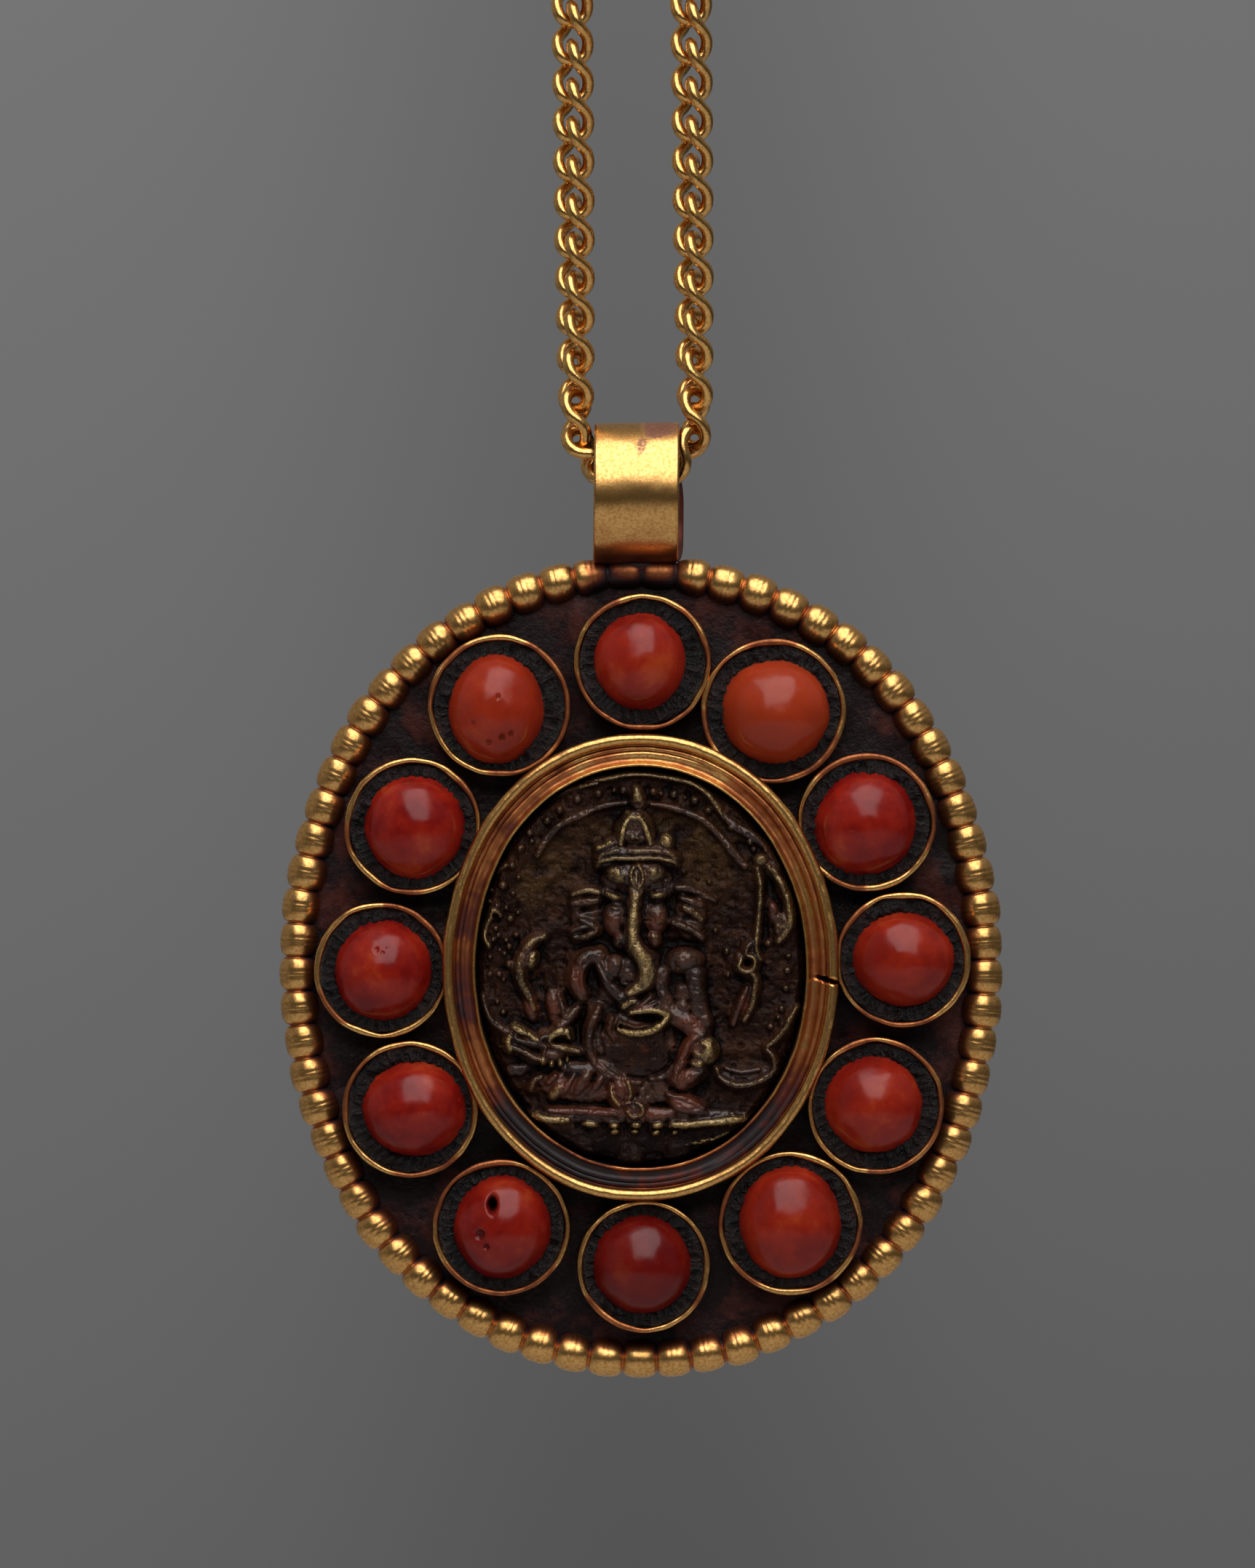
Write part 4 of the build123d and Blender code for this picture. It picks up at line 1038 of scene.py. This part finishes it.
# Single pearls of the halo and the cluster at the left: across, down, half size, height
PEARLS = [
    (128, 226, 14, 0.56), (155, 182, 13, 0.56), (178, 240, 10, 0.48), (206, 148, 13, 0.56),
    (160, 206, 9, 0.44),
    (242, 116, 13, 0.56), (294, 86, 14, 0.56), (354, 70, 14, 0.54), (400, 62, 9, 0.44),
    (428, 62, 14, 0.50),
    (514, 66, 13, 0.54), (536, 72, 9, 0.46), (572, 74, 14, 0.56), (632, 92, 15, 0.56),
    (672, 122, 13, 0.54),
    (606, 84, 7, 0.40), (738, 172, 12, 0.50), (776, 188, 12, 0.52), (792, 214, 12, 0.52),
    (802, 236, 10, 0.48),
    (838, 238, 10, 0.62), (102, 276, 13, 0.56), (76, 334, 15, 0.58), (120, 312, 9, 0.42),
    (104, 356, 9, 0.44),
    (60, 392, 13, 0.54), (84, 398, 10, 0.50), (66, 420, 11, 0.56), (96, 430, 13, 0.56),
    (118, 412, 8, 0.44),
    (38, 346, 9, 0.46), (34, 378, 8, 0.46), (54, 458, 10, 0.50), (48, 490, 10, 0.50),
    (62, 478, 9, 0.48),
    (112, 476, 11, 0.54), (84, 492, 9, 0.50), (92, 510, 11, 0.54), (78, 530, 9, 0.48),
    (64, 520, 7, 0.44),
    (92, 562, 13, 0.56), (36, 590, 11, 0.48), (62, 590, 11, 0.48), (36, 540, 9, 0.42),
    (76, 606, 8, 0.42),
    (720, 530, 12, 0.44), (722, 598, 11, 0.44), (840, 508, 13, 0.46), (690, 470, 10, 0.36),
    (898, 588, 12, 0.42),
    (892, 640, 12, 0.40), (880, 700, 12, 0.42), (846, 750, 12, 0.42), (900, 545, 9, 0.36),
    (870, 722, 8, 0.36),
    (74, 700, 12, 0.40), (56, 670, 9, 0.36), (600, 300, 9, 0.24), (672, 330, 9, 0.26),
    (640, 318, 8, 0.24),
]

# Hollows: across, down, half width, half height, depth
HOLLOWS = [
    (466, 104, 15, 8, 0.20), (460, 214, 34, 10, 0.28), (447, 172, 8, 11, 0.14),
    (478, 196, 9, 9, 0.14),
    (440, 200, 7, 7, 0.10), (462, 182, 6, 8, 0.10), (426, 613, 11, 9, 0.36),
    (486, 721, 40, 10, 0.40),
    (413, 743, 6, 6, 0.26), (640, 812, 15, 13, 0.26), (628, 848, 8, 7, 0.12),
    (668, 842, 7, 6, 0.10),
    (648, 790, 6, 5, 0.06), (680, 800, 5, 8, 0.06), (574, 936, 17, 8, 0.26), (416, 510, 7, 7, 0.24),
    (782, 562, 13, 12, 0.26), (130, 772, 20, 6, 0.24), (240, 786, 26, 7, 0.30),
    (232, 800, 20, 4, 0.12),
    (186, 545, 16, 34, 0.22), (190, 610, 34, 36, 0.20), (54, 422, 8, 7, 0.26),
    (850, 330, 13, 34, 0.24),
    (876, 448, 11, 9, 0.20), (835, 470, 9, 40, 0.16), (770, 850, 60, 24, 0.24),
    (170, 284, 16, 11, 0.18),
    (742, 385, 14, 10, 0.26), (324, 404, 26, 7, 0.18), (322, 368, 26, 5, 0.18),
    (300, 470, 22, 4, 0.14),
    (622, 368, 26, 6, 0.20), (608, 432, 20, 8, 0.12), (450, 960, 9, 5, 0.14),
    (690, 800, 10, 30, 0.18),
    (340, 612, 16, 46, 0.30), (345, 500, 60, 12, 0.14), (560, 500, 60, 12, 0.12),
    (690, 620, 26, 80, 0.16),
    (820, 620, 16, 60, 0.14), (562, 800, 30, 50, 0.16), (280, 790, 26, 60, 0.26),
    (130, 940, 40, 16, 0.20),
]

# Where red and olive lacquer is left: across, down, half width, half height
RED_PLACES = [
    (155, 690, 30, 40), (215, 690, 30, 50), (290, 600, 30, 60), (240, 920, 90, 50),
    (400, 940, 60, 60),
    (300, 990, 110, 16), (600, 800, 50, 60), (590, 900, 50, 50), (600, 970, 70, 30),
    (480, 690, 40, 16),
    (480, 812, 20, 16), (610, 740, 50, 30), (770, 680, 20, 50), (560, 510, 80, 20),
    (780, 570, 14, 16),
    (390, 450, 40, 50), (520, 450, 40, 50), (860, 380, 26, 50), (500, 1000, 60, 20),
]
OLIVE_PLACES = [(660, 260, 90, 110), (230, 280, 60, 90), (160, 340, 40, 60), (580, 170, 90, 40),
            (350, 190, 60, 40)]

# Where the face, the belly and the seat's lower edge are
FACE = (462, 345, 95, 100)
BELLY = (455, 800, 100, 85)
SEAT_EDGE = (1018, 1050)


def blurred(field, reach):
    """The field, smoothed twice each way over the given number of cells to either side."""
    for axis in (0, 0, 1, 1):
        size = field.shape[axis]
        padded = np.concatenate([
            field.take([0], axis), np.repeat(field.take([0], axis), reach, axis), field,
            np.repeat(field.take([-1], axis), reach, axis),
        ], axis)
        total = np.cumsum(padded, axis)
        high = total.take(range(2 * reach + 1, 2 * reach + 1 + size), axis)
        field = (high - total.take(range(size), axis)) / (2 * reach + 1)
    return field


def smooth_run(points):
    """The points with more between them, on a smooth curve through them."""
    points = [np.array(point, float) for point in points]
    run = []
    for n in range(len(points) - 1):
        a, b = points[max(n - 1, 0)], points[n]
        c, d = points[n + 1], points[min(n + 2, len(points) - 1)]
        for t in (0, 0.25, 0.5, 0.75):
            bend = (2 * a - 5 * b + 4 * c - d) * t**2 + (3 * b - a - 3 * c + d) * t**3
            run.append(0.5 * (2 * b + (c - a) * t + bend))
    return np.array(run + [points[-1]])


def away_from(x, y, a, b):
    """How far each place is from the line a to b, and where along it is the nearest."""
    run = b[:2] - a[:2]
    share = np.clip(((x - a[0]) * run[0] + (y - a[1]) * run[1]) / (run @ run + 1e-9), 0, 1)
    return np.hypot(x - a[0] - share * run[0], y - a[1] - share * run[1]), share


class Relief:
    """Heights above the field on a grid of the chart, and how far each place is rubbed."""

    def __init__(self, x, y):
        self.x, self.y = x, y
        self.height = np.zeros(x.shape)
        self.rub = np.zeros(x.shape)

    def window(self, low, high):
        """The part of the grid between two corners, with its places."""
        columns = slice(*np.searchsorted(self.x[0], [low[0], high[0]]))
        rows = slice(*np.searchsorted(self.y[:, 0], [low[1], high[1]]))
        return (rows, columns), self.x[rows, columns], self.y[rows, columns]

    def join(self, window, shape, rub, soft):
        """Raises the field to the shape, with a fillet where they meet."""
        old = self.height[window]
        share = np.clip(0.5 + (shape - old) / (2 * soft), 0, 1)
        self.height[window] = old + (shape - old) * share + soft * share * (1 - share)
        self.rub[window] += (rub - self.rub[window]) * share

    def mound(self, middle_x, middle_y, wide, high, turn, top, flat, rub, soft=SOFT):
        turn = radians(turn)
        reach = 1.3 * max(wide, high)
        middle = np.array([middle_x, middle_y])
        window, x, y = self.window(middle - reach, middle + reach)
        dx, dy = x - middle_x, y - middle_y
        along = (dx * cos(turn) + dy * sin(turn)) / wide
        over = (-dx * sin(turn) + dy * cos(turn)) / high
        away = np.sqrt(along**2 + over**2)
        inside = top * np.sqrt(np.clip(1 - away**flat, 0, 1))
        outside = -FLANK * (away - 1) * min(wide, high) / CHART_SCALE
        self.join(window, np.where(away < 1, inside, outside), rub, soft)

    def limb(self, rub, points):
        points = smooth_run(points)
        reach = points[:, 2].max() + 30
        window, x, y = self.window(points[:, :2].min(0) - reach, points[:, :2].max(0) + reach)
        shape = np.full(x.shape, -9.0)
        for a, b in zip(points, points[1:]):
            away, share = away_from(x, y, a, b)
            half = a[2] + (b[2] - a[2]) * share
            top = a[3] + (b[3] - a[3]) * share
            near = np.sqrt(np.clip(1 - (away / half) ** 2, 0, 1))
            drop = half * (1 - near) + FLANK * np.clip(away - half, 0, None)
            shape = np.maximum(shape, top - drop / CHART_SCALE)
        self.join(window, shape, rub, SOFT)

    def line(self, half, rise, points):
        points = smooth_run(points)
        window, x, y = self.window(points.min(0) - 3 * half, points.max(0) + 3 * half)
        away = np.min([away_from(x, y, a, b)[0] for a, b in zip(points, points[1:])], axis=0)
        self.height[window] += rise * np.exp(-((away / half) ** 2))

    def hollow(self, x, y, wide, high, depth):
        away = ((self.x - x) / wide) ** 2 + ((self.y - y) / high) ** 2
        self.height -= depth * np.exp(-(away**1.5))

    def places(self, rows):
        """How far each spot lies in the given places, which fade outward."""
        parts = [
            np.exp(-(((self.x - x) / wide) ** 2) - ((self.y - y) / high) ** 2)
            for x, y, wide, high in rows
        ]
        return np.clip(sum(parts), 0, 1)


def make_relief(x, y):
    relief = Relief(x, y)
    for mound in BODY:
        relief.mound(*mound, soft=0.15)
    for mound in MOUNDS:
        relief.mound(*mound)
    for px, py, size, top in PEARLS:
        relief.mound(px, py, size, size * 1.06, 0, top, 2.0, 0.15, soft=0.04)
    for rub, points in LIMBS:
        relief.limb(rub, points)
    for half, rise, points in LINES:
        relief.line(half, rise, points)
    for hollow in HOLLOWS:
        relief.hollow(*hollow)
    return relief


def medallion_surface():
    """The medallion's front: its grid of points, what lies inside its edge, and its masks."""
    step = 3.1
    half = np.array([medallion_half_width, medallion_half_height]) * CHART_SCALE
    columns = np.arange(-half[0], half[0] + step, step)
    rows = np.arange(-half[1], half[1] + step, step)
    x, y = np.meshgrid(CHART_MIDDLE[0] + columns, CHART_MIDDLE[1] + rows)
    relief = make_relief(x, y)
    across = (x - CHART_MIDDLE[0]) / CHART_SCALE
    up = (CHART_MIDDLE[1] - y) / CHART_SCALE
    flat = joined(across, up, 0.0)
    # the narrow ditches between forms are half filled, and the casting's grain is laid on
    trench = np.clip(blurred(relief.height, 6) - relief.height, 0, None)
    height = relief.height + 0.45 * trench
    low = ease(0.5 - height, 0, 0.4)
    field_pits = ease(noise(flat, 0.34, 105), 0.3, 0.9)
    height = height + low * (0.10 * lumps(flat, 1.1, 107) - 0.10 * field_pits)
    height = height + 0.060 * noise(flat, 0.55, 101) + 0.040 * noise(flat, 0.24, 103)
    height = height - 0.09 * ease(noise(flat, 0.26, 109), 0.35, 0.85)
    # the edge falls away
    edge, _ = oval(medallion_half_width, medallion_half_height, BEZEL_CORNER, 720)
    angle = np.arctan2(edge[:, 1], edge[:, 0])
    order = np.argsort(angle)
    reach = np.hypot(edge[:, 0], edge[:, 1])
    limit = np.interp(np.arctan2(up, across), angle[order], reach[order], period=2 * pi)
    inside = limit - np.hypot(across, up)
    height -= 0.45 * ease(0.4 - inside, 0.0, 0.4)
    # the high places are rubbed, and the face most of all
    wide = blurred(height, 7)
    convex = (height - blurred(height, 2)) * 7 + (height - wide) * 2.2
    worn = relief.rub * ease(convex, -0.35, 0.35) + 0.35 * ease(convex, 0.45, 1.1)
    worn = worn + 0.34 * relief.places([FACE]) * ease(convex, -0.4, 0.3) * (1 - low)
    # the hollows, the belly and what lies under the seat are dark
    belly_x, belly_y, belly_wide, belly_high = BELLY
    belly = np.exp(-(((x - belly_x) / belly_wide) ** 4) - ((y - belly_y) / belly_high) ** 4)
    below_seat = ease(y, *SEAT_EDGE)
    hollow = np.maximum(ease(-(height - wide) * 4, 0.2, 1.0), 0.5 * low)
    hollow = np.maximum(hollow, np.maximum(0.42 * belly, 0.7 * below_seat))
    red, olive = relief.places(RED_PLACES), relief.places(OLIVE_PLACES) * low
    masks = {"worn": worn, "hollow": hollow, "red": red, "olive": olive}
    return joined(across, up, field_level + height), inside > 0, masks


def make_medallion():
    """The relief's surface inside the oval, with a skirt down from its edge and a back."""
    surface, keep, masks = medallion_surface()
    cell = keep[:-1, :-1] & keep[:-1, 1:] & keep[1:, 1:] & keep[1:, :-1]
    number = np.arange(keep.size).reshape(keep.shape)
    corners = (number[:-1, :-1], number[1:, :-1], number[1:, 1:], number[:-1, 1:])
    quads = np.stack([corner[cell] for corner in corners], -1)
    used, quads = np.unique(quads, return_inverse=True)
    quads = quads.reshape(-1, 4)
    front = surface.reshape(-1, 3)[used]
    # the open edges are those of one face only
    edges = np.concatenate([quads[:, [n, (n + 1) % 4]] for n in range(4)])
    _, index, count = np.unique(np.sort(edges, 1), axis=0, return_index=True, return_counts=True)
    rim = edges[index[count == 1]]
    ring = np.unique(rim)
    back_level = field_level - medallion_thickness + 0.02
    below = np.full(len(front), -1)
    below[ring] = len(front) + np.arange(len(ring))
    skirt = np.stack([rim[:, 1], rim[:, 0], below[rim[:, 0]], below[rim[:, 1]]], -1)
    centre = len(front) + len(ring)
    back = np.stack([below[rim[:, 1]], below[rim[:, 0]], np.full(len(rim), centre)], -1)
    foot = front[ring] * [1, 1, 0] + [0, 0, back_level]
    points = np.concatenate([front, foot, [[0, 0, back_level]]])
    dark = np.zeros(len(ring) + 1)
    for key, values in masks.items():
        masks[key] = np.append(values.ravel()[used], dark + (key == "hollow"))
    make_piece(
        "medallion_relief", hung(points), [quads, skirt, back], bronze_look, "cast_bronze",
        "medallion", **masks,
    )


# The chain


def arc_points(start, way, end, count):
    """Points on the arc that leaves start along way and reaches end, without its end."""
    chord = end - start
    side = chord - way * (chord @ way)
    side /= np.linalg.norm(side)
    radius = (chord @ chord) / (2 * (chord @ side))
    centre = start + side * radius
    angle = np.arctan2(chord @ way, radius - chord @ side)
    steps = angle * np.arange(count) / count
    return centre + radius * (np.outer(np.sin(steps), way) - np.outer(np.cos(steps), side))


def biarc(start, start_way, end, end_way, count):
    """Points on two arcs that meet smoothly between two ends with given ways."""
    gap = end - start
    spare = 2 * (1 - start_way @ end_way)
    along = gap @ (start_way + end_way)
    reach = (sqrt(along**2 + spare * (gap @ gap)) - along) / spare
    near, far = start + start_way * reach, end - end_way * reach
    middle = (near + far) / 2
    middle_way = (far - near) / np.linalg.norm(far - near)
    first = arc_points(start, start_way, middle, count)
    return np.concatenate([first, arc_points(middle, middle_way, end, count)])


def link_line():
    """The line of one link's wire: an oval along X, twisted about X."""
    long, wide = LINK_HALF_LENGTH * chain_wire, LINK_HALF_WIDTH * chain_wire
    twist, lean = radians(END_TWIST), radians(SIDE_LEAN)
    knots = [
        ((long, 0, 0), (0, cos(twist), sin(twist))),
        ((0, wide, 0), (-cos(lean), 0, -sin(lean))),
        ((-long, 0, 0), (0, -cos(twist), sin(twist))),
        ((0, -wide, 0), (cos(lean), 0, -sin(lean))),
    ]
    knots = [(np.array(a, float), np.array(b, float)) for a, b in knots]
    pairs = zip(knots, knots[1:] + knots[:1])
    return np.concatenate([biarc(a, a_way, b, b_way, 5) for (a, a_way), (b, b_way) in pairs])


def link_mesh():
    line = link_line()
    way = np.roll(line, -1, 0) - np.roll(line, 1, 0)
    way /= np.linalg.norm(way, axis=1)[:, None]
    side = np.cross(way, -line)
    side /= np.linalg.norm(side, axis=1)[:, None]
    angle = turns(11)[:, None]
    ring = np.cos(angle) * side[:, None] + np.sin(angle) * np.cross(way, side)[:, None]
    return line[:, None] + link_wire / 2 * ring


def turn_joints():
    """Where the links of half an end turn meet, from its lowest point."""
    place = np.zeros(3)
    joints = [place]
    for number in range(turn_links // 2):
        heading = radians(180 / (turn_links + 1) * (number + 0.5))
        place = place + np.array([cos(heading), 0, sin(heading)]) * link_pitch
        joints.append(place)
    return joints


def link_frame(start, end, wide):
    along = (end - start) / np.linalg.norm(end - start)
    return (start + end) / 2, along, np.cross(np.cross(along, wide), along)


def link_frames():
    """Each link's middle and two of its ways: both end turns, then the strands that roll."""
    joints = turn_joints()
    top = LINK_HALF_WIDTH * chain_wire
    count = round((loop_length / link_pitch - 2 * turn_links) / 2)
    bottom = top - 2 * joints[-1][2] - count * link_pitch
    left = [joint * [-1, 1, 1] for joint in joints]
    low = [joint + [0, 0, bottom] for joint in left[:0:-1] + joints]
    high = [joint * [1, 1, -1] + [0, 0, top] for joint in left[:0:-1] + joints]
    front = np.array([0.0, 1.0, 0.0])
    frames = [link_frame(a, b, front) for run in (low, high) for a, b in zip(run, run[1:])]
    first_barrel = count - barrel_from_top - barrel_links
    for foot, has_barrel in ((low[0], True), (low[-1], False)):
        for number in range(count):
            if has_barrel and first_barrel <= number <= first_barrel + barrel_links:
                continue
            roll = radians(STRAND_ROLL * (number / count) ** ROLL_LEAN)
            wide = np.array([sin(roll), cos(roll), 0])
            start = foot + [0, 0, number * link_pitch]
            frames.append(link_frame(start, start + [0, 0, link_pitch], wide))
    return frames


def make_chain():
    link = link_mesh()
    rows, columns = link.shape[:2]
    blocks, faces = [], []
    for number, (middle, along, wide) in enumerate(link_frames()):
        turn = np.stack([along, wide, np.cross(along, wide)])
        blocks.append((link @ turn + middle).reshape(-1, 3))
        faces.append(grid_faces(rows, columns, number * rows * columns))
    points = np.concatenate(blocks)
    make_piece(
        "chain_links", points, faces, gilt_chain, "gilt_chain", "chain", body="chain",
        patina=0.10 * noise(points, 1.2, 111),
    )


# Stage, light and camera


def make_floor():
    half, level = 0.45, -0.36
    mesh = bpy.data.meshes.new("floor")
    corners = [(x * half, y * half, level) for x, y in ((-1, -1), (1, -1), (1, 1), (-1, 1))]
    mesh.from_pydata(corners, [], [(0, 1, 2, 3)])
    mesh.materials.append(Nodes("pale_floor").set(Base_Color=(0.55, 0.55, 0.56), Roughness=0.8))
    floor = bpy.data.objects.new("floor", mesh)
    bpy.context.scene.collection.objects.link(floor)


def make_key_light():
    """A soft light that faces the pendant from above and a little to the right."""
    azimuth, elevation, distance = radians(6), radians(53), 0.42
    data = bpy.data.lights.new("key", "AREA")
    data.shape = "RECTANGLE"
    data.size, data.size_y = 0.40, 0.54
    data.energy = 2.0
    light = bpy.data.objects.new("key", data)
    light.visible_camera = False
    bpy.context.scene.collection.objects.link(light)
    level = cos(elevation)
    way = np.array([sin(azimuth) * level, -cos(azimuth) * level, sin(elevation)])
    light.location = np.array([0, 0, pendant_level * MM]) + way * distance
    light.rotation_mode = "QUATERNION"
    light.rotation_quaternion = Vector(-way).to_track_quat("-Z", "Y")


def make_world():
    """Plain grey, lighter above, dark behind the camera, with a painted soft shadow of the pendant,
    a little darker, behind it.
    """
    world = bpy.data.worlds.new("studio")
    bpy.context.scene.world = world
    world.use_nodes = True
    tree = world.node_tree

    def node(kind, operation, *inputs):
        made = tree.nodes.new(kind)
        if operation:
            made.operation = operation
        for number, value in enumerate(inputs):
            if isinstance(value, bpy.types.NodeSocket):
                tree.links.new(value, made.inputs[number])
            else:
                made.inputs[number].default_value = value
        return made.outputs

    def math(operation, *inputs):
        return node("ShaderNodeMath", operation, *inputs)[0]

    def ramp(value, *limits):
        return node("ShaderNodeMapRange", None, value, *limits)[0]

    way = tree.nodes.new("ShaderNodeTexCoord").outputs["Generated"]
    slope = node("ShaderNodeVectorMath", "DOT_PRODUCT", way, (-0.06, 0.0, 0.25))["Value"]
    parts = node("ShaderNodeSeparateXYZ", None, way)
    shade = ramp(slope, -0.1, 0.1, 0.042, 0.242)
    front = ramp(parts["Y"], -0.85, -0.3, 0.2, 1.0)
    # painted shadow: a soft dark band behind the pendant, as its shadow on the backdrop
    square = math("POWER", math("ABSOLUTE", parts["X"]), 2.0)
    shadow_band = math("EXPONENT", math("MULTIPLY", square, -500.0))
    painted_shadow = math("MULTIPLY_ADD", shadow_band, -0.22, 1.0)
    lit = math("MULTIPLY", math("MULTIPLY", shade, front), painted_shadow)
    tree.links.new(lit, tree.nodes["Background"].inputs["Color"])


def make_camera():
    """The photograph's camera, far off and rolled so that the strands lean a little."""
    distance, frame_height = 360.0, 86.94
    data = bpy.data.cameras.new("camera")
    data.sensor_width = 36.0
    data.lens = data.sensor_width * distance / frame_height
    data.clip_start, data.clip_end = 0.01, 10
    camera = bpy.data.objects.new("camera", data)
    bpy.context.scene.collection.objects.link(camera)
    camera.location = np.array([-0.64, -distance, pendant_level + 10.13]) * MM
    camera.rotation_euler = (pi / 2, radians(0.55), 0)
    bpy.context.scene.camera = camera


make_camera()
make_floor()
make_world()
make_key_light()
bpy.context.scene.view_settings.view_transform = "Standard"

make_bead_rim()
make_plate()
make_collets()
make_bezel()
make_bail()
make_solder()
for number, cup in enumerate(CUPS, 1):
    make_coral(number, cup)
    make_cement(number, cup)
make_medallion()
make_chain()
for node, look in (("clasp", gilt_chain), ("medallion_cement", cement_look)):
    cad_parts[node].data.materials.clear()
    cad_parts[node].data.materials.append(look)
